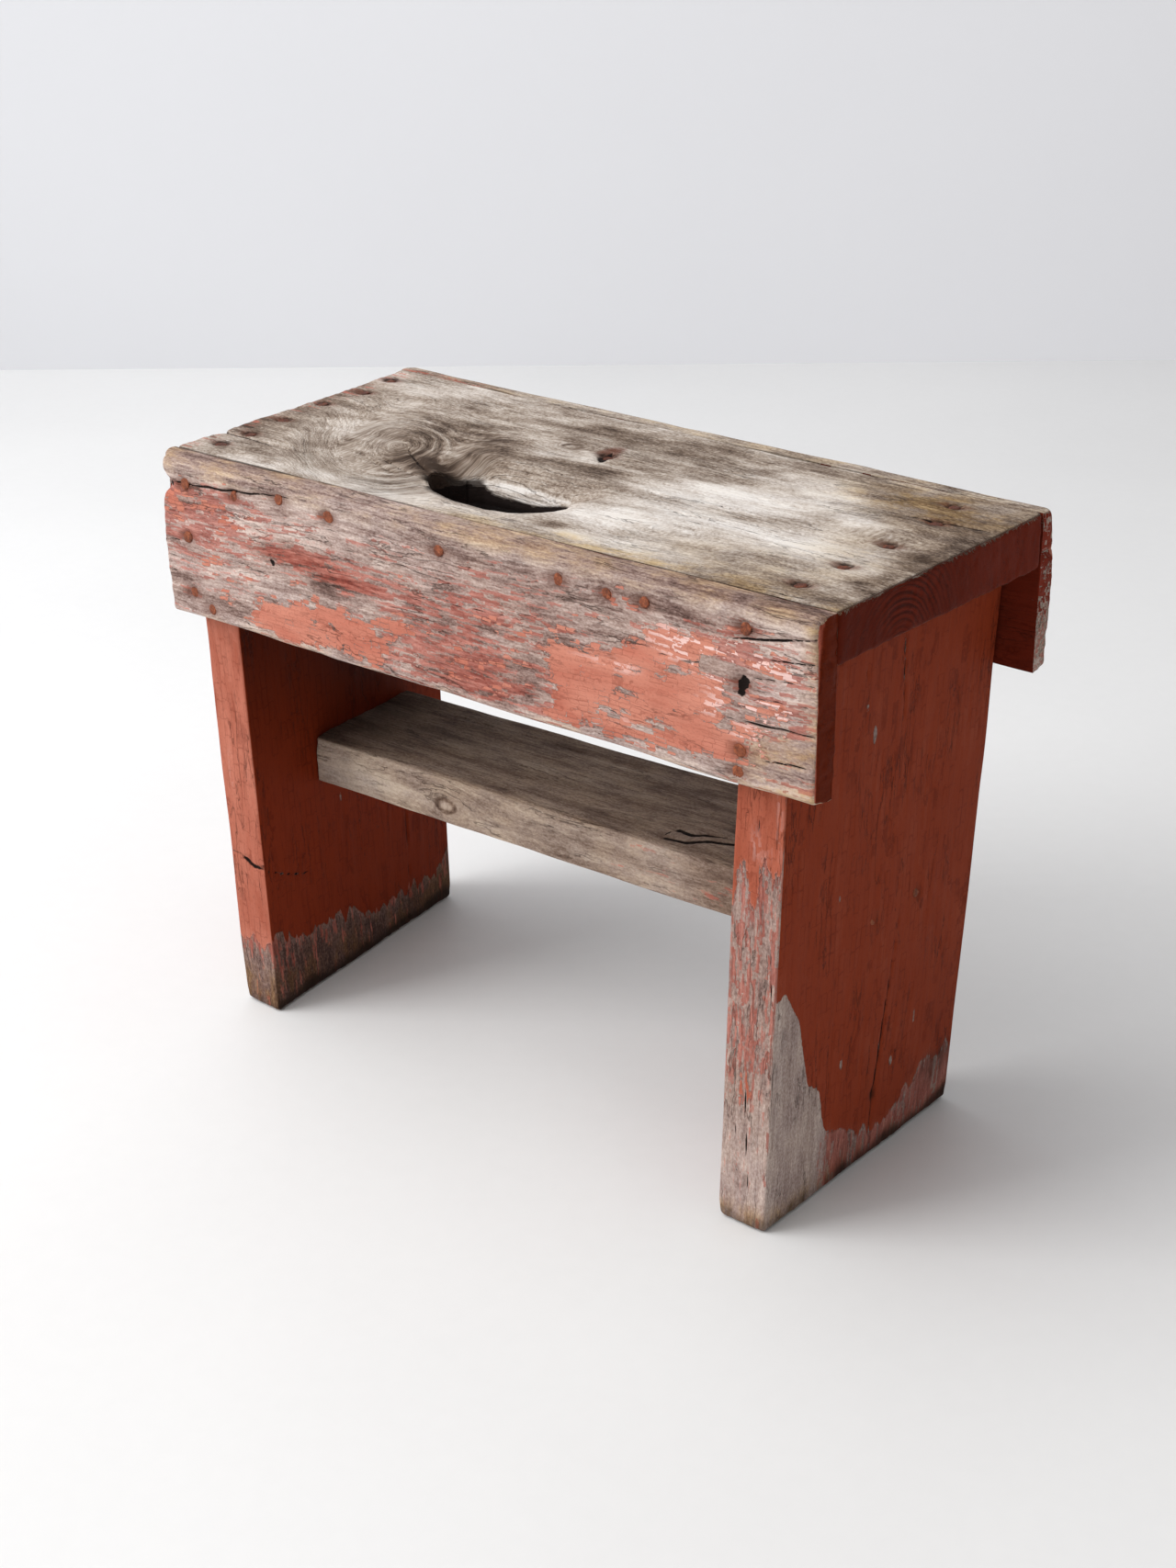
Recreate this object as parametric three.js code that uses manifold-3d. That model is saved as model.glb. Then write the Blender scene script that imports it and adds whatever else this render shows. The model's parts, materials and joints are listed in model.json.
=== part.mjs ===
// Wooden milking stool. A plank seat with a hand hole is boxed in by a front and a rear
// apron and stands on two plank legs, which a flat stretcher ties together. Iron nails
// hold every joint. The stool is hand made: the seat slopes a little, the right leg leans
// inwards and the left leg is set askew.
// Millimetres, +Z up, +X along the length, front at -Y, feet on z = 0.

import * as THREE from 'three';
import { mergeVertices } from 'three/addons/utils/BufferGeometryUtils.js';
import Module from 'manifold-3d';

const wasm = await Module();
wasm.setup();

// ---- Driving dimensions ----
const GAP = 0.3; // play between pieces that touch
const CORNER = 4; // worn rounding of the plank corners, in section
const EDGE = 2; // worn rounding of the plank ends
const ARC_SEGMENTS = 3; // facets in each worn corner

const PLANK = 38; // thickness of the leg and stretcher planks
const APRON = 18; // thickness of the apron boards
const HALF_DEPTH = 135; // seat centre line to the outside of an apron
const HALF_SEAT = HALF_DEPTH - APRON - GAP; // half the width of the seat board

const SEAT_TOP = { level: 449.5, slopeX: -0.0158, slopeY: 0.0301 };
const SEAT_UNDER = { level: 412.5, slopeX: -0.012, slopeY: 0.012 };
const FRONT_APRON_UNDER = { level: 328.9, slopeX: 0, slopeY: 0 };
const REAR_APRON_UNDER = { level: 340.3, slopeX: -0.0129, slopeY: 0 };
const RIGHT_END = 287; // seat centre to the square right end
const LEFT_END = 284.5; // seat centre to the left end, on the centre line
const LEFT_END_SKEW = 0.026; // how much further out the left end runs towards the rear

// A leg's middle plane: x at the ground on the centre line, lean per mm of height,
// twist per mm of depth at the ground and at the seat, and the y of its two edges.
const RIGHT_LEG = {
  x: 225, lean: 0.04, twistFoot: 0.03, twistTop: 0.03,
  frontFoot: -111.5, frontTop: -115.2, rearFoot: 107, rearTop: 113.5,
};
const LEFT_LEG = {
  x: -261, lean: -0.009, twistFoot: -0.14, twistTop: -0.095,
  frontFoot: -112.5, frontTop: -114.6, rearFoot: 118, rearTop: 114.6,
};
const LEG_STEPS = 6; // lengths a leg is divided into, so that its twist runs smoothly

const STRETCHER_UNDER = { level: 178, slopeX: 0.0224, slopeY: 0 };
const STRETCHER_FRONT = -44.3;
const STRETCHER_REAR = 70;

// Outline of the hand hole at mid thickness, from its left tip round the front edge.
const HAND_HOLE = [
  [-87, -60], [-72, -74.5], [-59, -84], [-32, -92], [-3, -94.4], [14, -89.6],
  [26, -79.5], [33, -67], [36, -57], [32, -44], [16, -29], [-10, -23], [-41, -22],
  [-68, -23.5], [-83, -32], [-90, -46],
];
const HAND_HOLE_SEGMENTS = 40;

const SHANK = 1.9; // nail shank radius
const HEAD = 5; // nail head radius
const HEAD_CROWN = 3.4; // radius of the flat crown of a nail head
const HEAD_THICK = 1.4;
const HEAD_PROUD = 0.4; // how far a nail head stands out of the wood
const POINT = 5; // length of the nail's point
const NAIL_SIDES = 10;
const LONG_NAIL = 74;
const SHORT_NAIL = 37;
const STRAY_NAIL = 26;

// ---- Surfaces the planks are fitted between ----
function height(plane, x, y) {
  return plane.level + plane.slopeX * x + plane.slopeY * y;
}

function leftEnd(y) {
  return -LEFT_END - LEFT_END_SKEW * y;
}

function legMiddle(leg, y, z) {
  const twist = leg.twistFoot + (leg.twistTop - leg.twistFoot) * (z / SEAT_UNDER.level);
  return leg.x + leg.lean * z + twist * y;
}

// ---- Helpers for planks ----
function roundedRectangle(x0, x1, y0, y1) {
  const outline = new THREE.Shape();
  outline.moveTo(x0 + CORNER, y0);
  outline.lineTo(x1 - CORNER, y0);
  outline.absarc(x1 - CORNER, y0 + CORNER, CORNER, -Math.PI / 2, 0);
  outline.lineTo(x1, y1 - CORNER);
  outline.absarc(x1 - CORNER, y1 - CORNER, CORNER, 0, Math.PI / 2);
  outline.lineTo(x0 + CORNER, y1);
  outline.absarc(x0 + CORNER, y1 - CORNER, CORNER, Math.PI / 2, Math.PI);
  outline.lineTo(x0, y0 + CORNER);
  outline.absarc(x0 + CORNER, y0 + CORNER, CORNER, Math.PI, 1.5 * Math.PI);
  return outline;
}

// Extrudes an outline from 0 to 1 along +Z with worn end edges; `thick` is the real size
// the unit length stands for.
function extrudeUnit(outline, thick, steps, curveSegments) {
  const geometry = new THREE.ExtrudeGeometry(outline, {
    depth: thick - 2 * EDGE,
    steps,
    curveSegments,
    bevelThickness: EDGE,
    bevelSize: EDGE,
    bevelOffset: -EDGE,
    bevelSegments: 2,
  });
  geometry.translate(0, 0, EDGE);
  geometry.scale(1, 1, 1 / thick);
  return geometry;
}

// Moves every vertex of a geometry; `place` turns a point into its new place.
function fit(geometry, place) {
  const position = geometry.getAttribute('position');
  const point = new THREE.Vector3();
  for (let i = 0; i < position.count; i += 1) {
    point.fromBufferAttribute(position, i);
    const moved = place(point.x, point.y, point.z);
    position.setXYZ(i, moved[0], moved[1], moved[2]);
  }
  return geometry;
}

function between(low, high, share) {
  return low + (high - low) * share;
}

function seatBoard() {
  const outline = roundedRectangle(-LEFT_END, RIGHT_END, -HALF_SEAT, HALF_SEAT);
  const hole = new THREE.Path();
  const points = HAND_HOLE.map(([x, y]) => new THREE.Vector2(x, y));
  const rim = new THREE.SplineCurve([...points, points[0]]).getPoints(HAND_HOLE_SEGMENTS);
  hole.setFromPoints(rim);
  outline.holes.push(hole);
  const geometry = extrudeUnit(outline, PLANK, 1, ARC_SEGMENTS);
  return fit(geometry, (x, y, share) => {
    const endX = x < 0 ? (x * -leftEnd(y)) / LEFT_END : x;
    return [endX, y, between(height(SEAT_UNDER, endX, y), height(SEAT_TOP, endX, y), share)];
  });
}

// An apron lies on edge: its section is `APRON` by its width, and it runs along X.
function apronBoard(innerSide, under) {
  const section = roundedRectangle(-APRON / 2, APRON / 2, 0, HALF_DEPTH);
  const geometry = extrudeUnit(section, RIGHT_END + LEFT_END, 1, ARC_SEGMENTS);
  const middle = innerSide * (HALF_DEPTH - APRON / 2);
  return fit(geometry, (across, up, along) => {
    const y = middle + across;
    const x = between(leftEnd(y), RIGHT_END, along);
    return [x, y, between(height(under, x, y), height(SEAT_TOP, x, y), up / HALF_DEPTH)];
  });
}

// A leg stands on its end: its section is `PLANK` by its width, and it runs up to the seat.
function legPlank(leg) {
  const widthTop = leg.rearTop - leg.frontTop;
  const section = roundedRectangle(-PLANK / 2, PLANK / 2, 0, widthTop);
  const geometry = extrudeUnit(section, SEAT_UNDER.level, LEG_STEPS, ARC_SEGMENTS);
  return fit(geometry, (across, deep, up) => {
    const front = between(leg.frontFoot, leg.frontTop, up);
    const rear = between(leg.rearFoot, leg.rearTop, up);
    const y = between(front, rear, deep / widthTop);
    const roughZ = up * SEAT_UNDER.level;
    const x = legMiddle(leg, y, roughZ) + across;
    return [x, y, up * (height(SEAT_UNDER, x, y) - GAP)];
  });
}

// The stretcher lies flat and ends against the inner faces of both legs.
function stretcherPlank() {
  const section = roundedRectangle(STRETCHER_FRONT, STRETCHER_REAR, -PLANK / 2, PLANK / 2);
  const geometry = extrudeUnit(section, RIGHT_LEG.x - LEFT_LEG.x, 1, ARC_SEGMENTS);
  return fit(geometry, (y, up, along) => {
    const level = STRETCHER_UNDER.level + PLANK / 2 + up;
    const inner = PLANK / 2 + GAP;
    const left = legMiddle(LEFT_LEG, y, level) + inner;
    const right = legMiddle(RIGHT_LEG, y, level) - inner;
    const x = between(left, right, along);
    return [x, y, level + STRETCHER_UNDER.slopeX * x];
  });
}

// ---- Helpers for nails ----
// A nail's profile, head crown at height 0 and point below; `play` thickens it all round
// and `cap` raises the head's top, which makes the hole the nail sits in.
function nailProfile(length, play, cap) {
  const crown = cap > 0 ? HEAD : HEAD_CROWN;
  return [
    [0, -length - play],
    [SHANK + play, -length + POINT],
    [SHANK + play, -HEAD_THICK - play],
    [HEAD + play, -HEAD_THICK - play],
    [HEAD + play, -HEAD_PROUD],
    [crown + play, cap],
    [0, cap],
  ].map(([radius, along]) => new THREE.Vector2(radius, along));
}

// Turns the lathe's axis so that the head faces `facing`, and carries the head to `at`.
function nailGeometry(length, at, facing, play, cap) {
  const geometry = new THREE.LatheGeometry(nailProfile(length, play, cap), NAIL_SIDES);
  const turn = new THREE.Quaternion().setFromUnitVectors(new THREE.Vector3(0, 1, 0), facing);
  geometry.applyQuaternion(turn);
  const crown = at.clone().addScaledVector(facing, HEAD_PROUD);
  geometry.translate(crown.x, crown.y, crown.z);
  return geometry;
}

// ---- Solid joining and cutting ----
function toManifold(geometry) {
  const bare = geometry.index ? geometry.toNonIndexed() : geometry.clone();
  bare.deleteAttribute('normal');
  bare.deleteAttribute('uv');
  const merged = mergeVertices(bare, 1e-4);
  return new wasm.Manifold(new wasm.Mesh({
    numProp: 3,
    vertProperties: new Float32Array(merged.getAttribute('position').array),
    triVerts: new Uint32Array(merged.index.array),
  }));
}

function toGeometry(solid) {
  const mesh = solid.getMesh();
  const geometry = new THREE.BufferGeometry();
  geometry.setAttribute('position', new THREE.BufferAttribute(mesh.vertProperties, 3));
  geometry.setIndex(new THREE.BufferAttribute(mesh.triVerts, 1));
  geometry.computeVertexNormals();
  return geometry;
}

// ---- Where the nails are ----
const UP = new THREE.Vector3(0, 0, 1);
const FRONT = new THREE.Vector3(0, -1, 0);
const REAR = new THREE.Vector3(0, 1, 0);
const RIGHT = new THREE.Vector3(1, 0, 0);
const LEFT = new THREE.Vector3(-1, 0, 0);

function onSeat([x, y]) {
  return new THREE.Vector3(x, y, height(SEAT_TOP, x, y));
}

function onFront([x, z]) {
  return new THREE.Vector3(x, -HALF_DEPTH, z);
}

function onRear([x, z]) {
  return new THREE.Vector3(x, HALF_DEPTH, z);
}

function onRightLeg([y, z]) {
  return new THREE.Vector3(legMiddle(RIGHT_LEG, y, z) + PLANK / 2, y, z);
}

function onLeftLeg([y, z]) {
  return new THREE.Vector3(legMiddle(LEFT_LEG, y, z) - PLANK / 2, y, z);
}

// Each row: name, the face it is driven into, the way the heads face, nail length, the
// planks it passes through, and the places on that face.
const NAIL_ROWS = [
  {
    name: 'nail_seat_left', place: onSeat, facing: UP, length: LONG_NAIL,
    through: ['seat_board', 'leg_left'],
    spots: [[-258.7, -94], [-258.8, -65.8], [-265, -28], [-272, 18.4], [-267.5, 57.7], [-273, 92]],
  },
  {
    name: 'nail_seat_right', place: onSeat, facing: UP, length: LONG_NAIL,
    through: ['seat_board', 'leg_right'],
    spots: [[235.1, 93.3], [243.9, 55.8], [244.6, 0.7], [244.6, -48.6], [242.4, -90]],
  },
  {
    name: 'nail_seat_stray', place: onSeat, facing: UP, length: STRAY_NAIL,
    through: ['seat_board'],
    spots: [[-12.6, 43.2]],
  },
  {
    name: 'nail_front_seat', place: onFront, facing: FRONT, length: SHORT_NAIL,
    through: ['apron_front', 'seat_board'],
    spots: [
      [-254, 428], [-202, 428.5], [-156, 434], [-108, 430.5], [-6.6, 427],
      [94, 428], [132, 427], [161, 427.5], [235, 427],
    ],
  },
  {
    name: 'nail_front_left_leg', place: onFront, facing: FRONT, length: SHORT_NAIL,
    through: ['apron_front', 'leg_left'],
    spots: [[-256, 389], [-254, 348], [-236, 338.5]],
  },
  {
    name: 'nail_front_right_leg', place: onFront, facing: FRONT, length: SHORT_NAIL,
    through: ['apron_front', 'leg_right'],
    spots: [[234, 393], [232, 351], [231, 337]],
  },
  {
    name: 'nail_rear_seat', place: onRear, facing: REAR, length: SHORT_NAIL,
    through: ['apron_rear', 'seat_board'],
    spots: [[-248, 435], [-171, 434], [-82, 436], [12, 433], [118, 431], [221, 430]],
  },
  {
    name: 'nail_rear_left_leg', place: onRear, facing: REAR, length: SHORT_NAIL,
    through: ['apron_rear', 'leg_left'],
    spots: [[-275, 398], [-270, 371], [-277, 353]],
  },
  {
    name: 'nail_rear_right_leg', place: onRear, facing: REAR, length: SHORT_NAIL,
    through: ['apron_rear', 'leg_right'],
    spots: [[241, 391], [246, 366], [238, 347]],
  },
  {
    name: 'nail_right_leg_stretcher', place: onRightLeg, facing: RIGHT, length: LONG_NAIL,
    through: ['leg_right', 'stretcher'],
    spots: [[-8, 194], [42, 196]],
  },
  {
    name: 'nail_left_leg_stretcher', place: onLeftLeg, facing: LEFT, length: LONG_NAIL,
    through: ['leg_left', 'stretcher'],
    spots: [[-14, 190], [38, 188]],
  },
];

// ---- Materials ----
const bareWood = { color: 0x9a9184, roughness: 0.85 };
const paintedWood = { color: 0x8a4a3d, roughness: 0.75 };
const rustyIron = { color: 0x4a2c22, roughness: 0.8, metalness: 0.4 };

// ---- The planks, then the nails and the holes they sit in ----
const planks = {
  seat_board: { solid: toManifold(seatBoard()), look: bareWood },
  apron_front: { solid: toManifold(apronBoard(-1, FRONT_APRON_UNDER)), look: paintedWood },
  apron_rear: { solid: toManifold(apronBoard(1, REAR_APRON_UNDER)), look: paintedWood },
  leg_left: { solid: toManifold(legPlank(LEFT_LEG)), look: paintedWood },
  leg_right: { solid: toManifold(legPlank(RIGHT_LEG)), look: paintedWood },
  stretcher: { solid: toManifold(stretcherPlank()), look: bareWood },
};

const group = new THREE.Group();
group.name = 'milking_stool';

function addPiece(name, geometry, look) {
  const piece = new THREE.Mesh(geometry, new THREE.MeshStandardMaterial(look));
  piece.name = name;
  group.add(piece);
}

const HOLE_CAP = 4; // how far a nail's hole is cut out past the surface
for (const row of NAIL_ROWS) {
  row.spots.forEach((spot, index) => {
    const at = row.place(spot);
    const nail = toManifold(nailGeometry(row.length, at, row.facing, 0, 0));
    const hole = toManifold(nailGeometry(row.length, at, row.facing, GAP, HOLE_CAP));
    for (const name of row.through) {
      planks[name].solid = planks[name].solid.subtract(hole);
    }
    addPiece(`${row.name}_${index + 1}`, toGeometry(nail), rustyIron);
  });
}

for (const [name, plank] of Object.entries(planks)) {
  addPiece(name, toGeometry(plank.solid), plank.look);
}

// ---- Stand the stool over the origin ----
const bounds = new THREE.Box3().setFromObject(group);
const middle = bounds.getCenter(new THREE.Vector3());
for (const piece of group.children) {
  piece.geometry.translate(-middle.x, -middle.y, 0);
}

export default group;
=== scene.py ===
# Looks of the wooden milking stool: dense worn planks, flaking red paint and rusty nails.
#
# Each board is a dense shell laid out flat, bent into place, and given relief and fields such as
# dirt, paint and rust, which are vertex attributes that one procedural material reads. Some of
# these fields also paint light and shade: dark places where shade falls, darker paint on faces
# turned from the lamps, pale paint edges and glints.
# Lengths are millimetres in the frame of the CAD until a mesh is made; Blender gets metres.
import json
import math

import bpy
import numpy as np
from mathutils import Matrix, Vector


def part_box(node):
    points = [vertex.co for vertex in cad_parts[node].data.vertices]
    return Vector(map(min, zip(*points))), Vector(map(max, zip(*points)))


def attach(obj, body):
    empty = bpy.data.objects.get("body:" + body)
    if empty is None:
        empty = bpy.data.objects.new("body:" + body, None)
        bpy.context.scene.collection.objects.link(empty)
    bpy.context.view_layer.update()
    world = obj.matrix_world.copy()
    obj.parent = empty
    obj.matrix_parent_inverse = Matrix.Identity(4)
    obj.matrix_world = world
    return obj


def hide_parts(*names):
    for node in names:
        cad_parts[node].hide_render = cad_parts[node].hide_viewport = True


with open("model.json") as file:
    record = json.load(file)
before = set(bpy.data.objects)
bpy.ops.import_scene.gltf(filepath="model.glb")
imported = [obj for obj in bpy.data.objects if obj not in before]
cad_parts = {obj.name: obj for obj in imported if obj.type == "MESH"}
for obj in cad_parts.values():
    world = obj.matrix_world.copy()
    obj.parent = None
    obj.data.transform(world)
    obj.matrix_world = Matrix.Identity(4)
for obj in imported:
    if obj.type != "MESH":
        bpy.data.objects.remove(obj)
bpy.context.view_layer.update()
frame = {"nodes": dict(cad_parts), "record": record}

MM = 0.001

# ---------------------------------------------------------------- camera
EYE = (0.8952, -1.0409, 0.8272)
YAW, PITCH, ROLL = (math.radians(angle) for angle in (39.276, 23.49, -0.496))
SENSOR, LENS = 36.0, 47.79121
SHIFT = (-0.026479, -0.01031)  # of the optical axis, in picture heights


def add_camera():
    """The photograph's view, fitted to the stool."""
    back = Vector((math.sin(YAW) * math.cos(PITCH), -math.cos(YAW) * math.cos(PITCH), math.sin(PITCH)))
    level = (-back).cross(Vector((0, 0, 1))).normalized()
    up = level.cross(-back)
    right = level * math.cos(ROLL) + up * math.sin(ROLL)
    top = -level * math.sin(ROLL) + up * math.cos(ROLL)
    data = bpy.data.cameras.new("camera")
    data.sensor_fit = "AUTO"
    data.sensor_width = SENSOR
    data.lens = LENS
    data.shift_x, data.shift_y = SHIFT
    data.clip_start = 0.05
    camera = bpy.data.objects.new("camera", data)
    bpy.context.scene.collection.objects.link(camera)
    turn = Matrix((right, top, back)).transposed().to_4x4()
    camera.matrix_world = Matrix.Translation(EYE) @ turn
    bpy.context.scene.camera = camera


add_camera()

# ---------------------------------------------------------------- noise in numpy
_TABLES = {}


def noise(x, y, z, seed):
    """Smooth value noise in -1..1 at points given in lattice units; any of them may be a number."""
    if seed not in _TABLES:
        _TABLES[seed] = np.random.RandomState(seed).uniform(-1, 1, (64, 64, 64))
    table = _TABLES[seed]
    out = 0
    cell = [np.floor(v).astype(int) for v in (x, y, z)]
    part = [v - np.floor(v) for v in (x, y, z)]
    part = [p * p * (3 - 2 * p) for p in part]
    for i in (0, 1):
        for j in (0, 1):
            for k in (0, 1):
                share = (part[0] if i else 1 - part[0]) * (part[1] if j else 1 - part[1])
                share = share * (part[2] if k else 1 - part[2])
                out = out + share * table[(cell[0] + i) % 64, (cell[1] + j) % 64, (cell[2] + k) % 64]
    return out


def smooth(low, high, value):
    """0 at low, 1 at high and an even S between them; low may be the larger of the two."""
    t = np.clip((value - low) / (high - low), 0, 1)
    return t * t * (3 - 2 * t)


def blob(x, y, cx, cy, rx, ry):
    """A soft spot: 1 at its middle, and 1/e at the distances rx and ry."""
    return np.exp(-(((x - cx) / rx) ** 2) - ((y - cy) / ry) ** 2)


def spots(x, y, rows):
    """The sum of soft spots, each (strength, cx, cy, rx, ry)."""
    return sum(strength * blob(x, y, *shape) for strength, *shape in rows)


def strongest(x, y, rows):
    """The strongest of the soft spots at each point; rows are as for spots."""
    return np.maximum.reduce([strength * blob(x, y, *shape) for strength, *shape in rows])


def facing(normal, way, low=0.4, high=0.85):
    """1 where the surface faces the way named, such as "-y"."""
    sign = -1 if way[0] == "-" else 1
    return smooth(low, high, sign * normal[:, "xyz".index(way[1])])


def line_distance(x, y, points):
    """Distance from a broken line, and how far along it each point is, from 0 to 1."""
    best = np.full(np.shape(x), 1e9)
    along = np.zeros(np.shape(x))
    count = len(points) - 1
    for i in range(count):
        (x0, y0), (x1, y1) = points[i], points[i + 1]
        dx, dy = x1 - x0, y1 - y0
        t = np.clip(((x - x0) * dx + (y - y0) * dy) / (dx * dx + dy * dy), 0, 1)
        d = np.hypot(x - x0 - t * dx, y - y0 - t * dy)
        closer = d < best
        best = np.where(closer, d, best)
        along = np.where(closer, (i + t) / count, along)
    return best, along


def knot_bend(x, y, knots):
    """Shift of the grain across the board, which runs round each knot and rings its core."""
    shift = 0 * x
    for cx, cy, core, reach in knots:
        dx, dy = x - cx, y - cy
        r = np.hypot(dx / 1.5, dy)
        around = -0.8 * dy * np.exp(-((r / reach) ** 2))
        ringed = smooth(core + 3, core - 3, r)
        shift = shift + around * (1 - ringed) + (r - dy) * ringed
    return shift


CRACK_EDGE = 0.84


def crack_field(x, y, cracks, seed):
    """1 in the middle of a crack, falling off evenly; its edge is at CRACK_EDGE. Each crack
    is (points, half width, strength)."""
    field = np.zeros(np.shape(x))
    wobble = 0.7 * noise(x / 14, y / 9, seed, seed)
    for points, half, strength in cracks:
        d, along = line_distance(x, y + wobble, points)
        thin = half * strength * (0.25 + 0.75 * np.sin(np.pi * np.clip(along, 0.04, 0.96)))
        field = np.maximum(field, 1 - (1 - CRACK_EDGE) * d / thin)
    return np.clip(field, 0, 1)


def inside_outline(x, y, outline):
    """Signed distance from a closed outline, positive inside."""
    best = np.full(np.shape(x), 1e9)
    inside = np.zeros(np.shape(x), bool)
    for (x0, y0), (x1, y1) in zip(outline, outline[1:] + outline[:1]):
        dx, dy = x1 - x0, y1 - y0
        t = np.clip(((x - x0) * dx + (y - y0) * dy) / (dx * dx + dy * dy), 0, 1)
        best = np.minimum(best, np.hypot(x - x0 - t * dx, y - y0 - t * dy))
        crosses = (y0 > y) != (y1 > y)
        inside ^= crosses & (x < dx * (y - y0) / (dy if dy else 1e-9) + x0)
    return np.where(inside, best, -best)


# ---------------------------------------------------------------- dense planks
def ticks(length, cell, fine=(0.0, 0.6, 1.3, 2.2, 3.3, 4.7, 6.5, 8.6)):
    """Grid lines along one side of a plank, closer together near both ends."""
    near = [f for f in fine if f < length * 0.35]
    inner = length - 2 * near[-1]
    steps = max(1, int(round(inner / cell)))
    middle = [near[-1] + inner * i / steps for i in range(1, steps)]
    return np.array(near + middle + [length - f for f in reversed(near)])


def lattice_shell(a, b, c):
    """Vertices and quads of the surface of a box of grid lines a, b, c."""
    na, nb, nc = len(a) - 1, len(b) - 1, len(c) - 1
    inside = np.ones((na + 1, nb + 1, nc + 1), bool)
    inside[1:-1, 1:-1, 1:-1] = False
    index = np.full(inside.shape, -1)
    index[inside] = np.arange(inside.sum())
    i, j, k = np.nonzero(inside)
    points = np.stack([a[i], b[j], c[k]], 1)
    quads = []

    def sheet(grid, flip):
        q = np.stack([grid[:-1, :-1], grid[1:, :-1], grid[1:, 1:], grid[:-1, 1:]], -1).reshape(-1, 4)
        quads.append(q[:, ::-1] if flip else q)

    sheet(index[:, :, 0], True)
    sheet(index[:, :, nc], False)
    sheet(index[:, 0, :], False)
    sheet(index[:, nb, :], True)
    sheet(index[0, :, :], True)
    sheet(index[na, :, :], False)
    return points, np.concatenate(quads)


def round_edges(points, size, radius):
    """Rounds the edges of the box from 0 to size; radius is one number for each point."""
    size = np.array(size, float)
    r = radius[:, None]
    inner = np.clip(points, r, size - r)
    out = points - inner
    length = np.linalg.norm(out, axis=1, keepdims=True)
    length[length < 1e-9] = 1
    return inner + out * (r / length)


def vertex_normals(points, quads):
    """Area-weighted normal of each vertex."""
    p = points[quads]
    face = np.cross(p[:, 2] - p[:, 0], p[:, 3] - p[:, 1])
    normal = np.zeros_like(points)
    for corner in range(4):
        np.add.at(normal, quads[:, corner], face)
    length = np.linalg.norm(normal, axis=1, keepdims=True)
    length[length < 1e-12] = 1
    return normal / length


def outwardness(points, quads):
    """Positive where the quads of a closed surface face outwards."""
    p = points[quads]
    return float((np.cross(p[:, 2] - p[:, 0], p[:, 3] - p[:, 1]) * p.mean(1)).sum())


def add_piece(name, mesh, material, node):
    """Puts a smooth mesh in the scene, in place of a node of the CAD."""
    mesh.polygons.foreach_set("use_smooth", np.ones(len(mesh.polygons), bool))
    mesh.materials.append(material)
    obj = bpy.data.objects.new(name, mesh)
    bpy.context.scene.collection.objects.link(obj)
    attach(obj, "root")
    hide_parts(node)


def add_quads(name, points_mm, quads, fields, material, node):
    """A piece made of quads, whose vertex attributes are the fields."""
    mesh = bpy.data.meshes.new(name)
    count = len(points_mm)
    mesh.vertices.add(count)
    mesh.vertices.foreach_set("co", (points_mm * MM).astype(np.float32).ravel())
    mesh.loops.add(len(quads) * 4)
    mesh.loops.foreach_set("vertex_index", quads.astype(np.int32).ravel())
    mesh.polygons.add(len(quads))
    mesh.polygons.foreach_set("loop_start", np.arange(0, len(quads) * 4, 4, dtype=np.int32))
    mesh.polygons.foreach_set("loop_total", np.full(len(quads), 4, np.int32))
    mesh.update(calc_edges=True)
    mesh.validate()
    for key, values in fields.items():
        kind = "FLOAT_VECTOR" if values.ndim == 2 else "FLOAT"
        layer = mesh.attributes.new(key, kind, "POINT")
        layer.data.foreach_set("vector" if values.ndim == 2 else "value", values.astype(np.float32).ravel())
    add_piece(name, mesh, material, node)


# ---------------------------------------------------------------- the stool's shape
def box_mm(node):
    low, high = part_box(node)
    return np.array(low) / MM, np.array(high) / MM


RIGHT_END = box_mm("seat_board")[1][0]
HALF_DEPTH = box_mm("apron_rear")[1][1]
BOARD_LENGTH = 571.5  # of the seat and the aprons
SEAT_THICK = 37.0
SEAT_UNDERSIDE = 412.5  # height at the seat's middle
APRON = 18.0  # thickness
APRON_WIDTH = 119.0
FRONT_APRON_LOW, REAR_APRON_LOW = 328.9, 340.3  # heights of the lower edges
REAR_APRON_FALL = 0.0129
PLANK = 38.0  # thickness of the legs and the stretcher
LEG_LENGTH = 412.0
STRETCHER_FRONT, STRETCHER_REAR = -44.3, 70.0
STRETCHER_LOW, STRETCHER_RISE = 178.0, 0.0224
GAP = 0.3  # between neighbours
MOUNT = next(m for m in frame["record"]["mounts"] if m["name"] == "seat_top")
TOP_POINT = np.array(MOUNT["pos_m"]) / MM
TOP_SLOPE = -np.array(MOUNT["axis"])[:2] / MOUNT["axis"][2]
MIDDLE_X = RIGHT_END - 287.0  # the seat's middle in the frame
WIND = 2.3  # how much the seat is wound, at its corners


def wind(x, y):
    """Lift of the wound seat: two opposite corners are high and the other two low."""
    return -WIND * (x - MIDDLE_X) / 284 * y / 117


def top_z(x, y):
    plane = TOP_POINT[2] + TOP_SLOPE[0] * (x - TOP_POINT[0]) + TOP_SLOPE[1] * (y - TOP_POINT[1])
    return plane + wind(x, y)


def under_z(x, y):
    return SEAT_UNDERSIDE - 0.012 * (x - MIDDLE_X) + 0.012 * y + wind(x, y)


def left_end(y):
    """X of the boards' left ends, which are cut on the skew."""
    return MIDDLE_X - 284.5 - 0.026 * y


def right_leg(y, z):
    """X of the middle of the right leg's thickness."""
    return MIDDLE_X + 225 + 0.04 * z + 0.03 * y


def left_leg(y, z):
    """X of the middle of the left leg's thickness; this leg is twisted."""
    return MIDDLE_X - 261 - 0.009 * z + (-0.14 + 0.045 * z / SEAT_UNDERSIDE) * y


NAILS = [n for n in sorted(frame["nodes"]) if n.startswith("nail_")]


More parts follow.
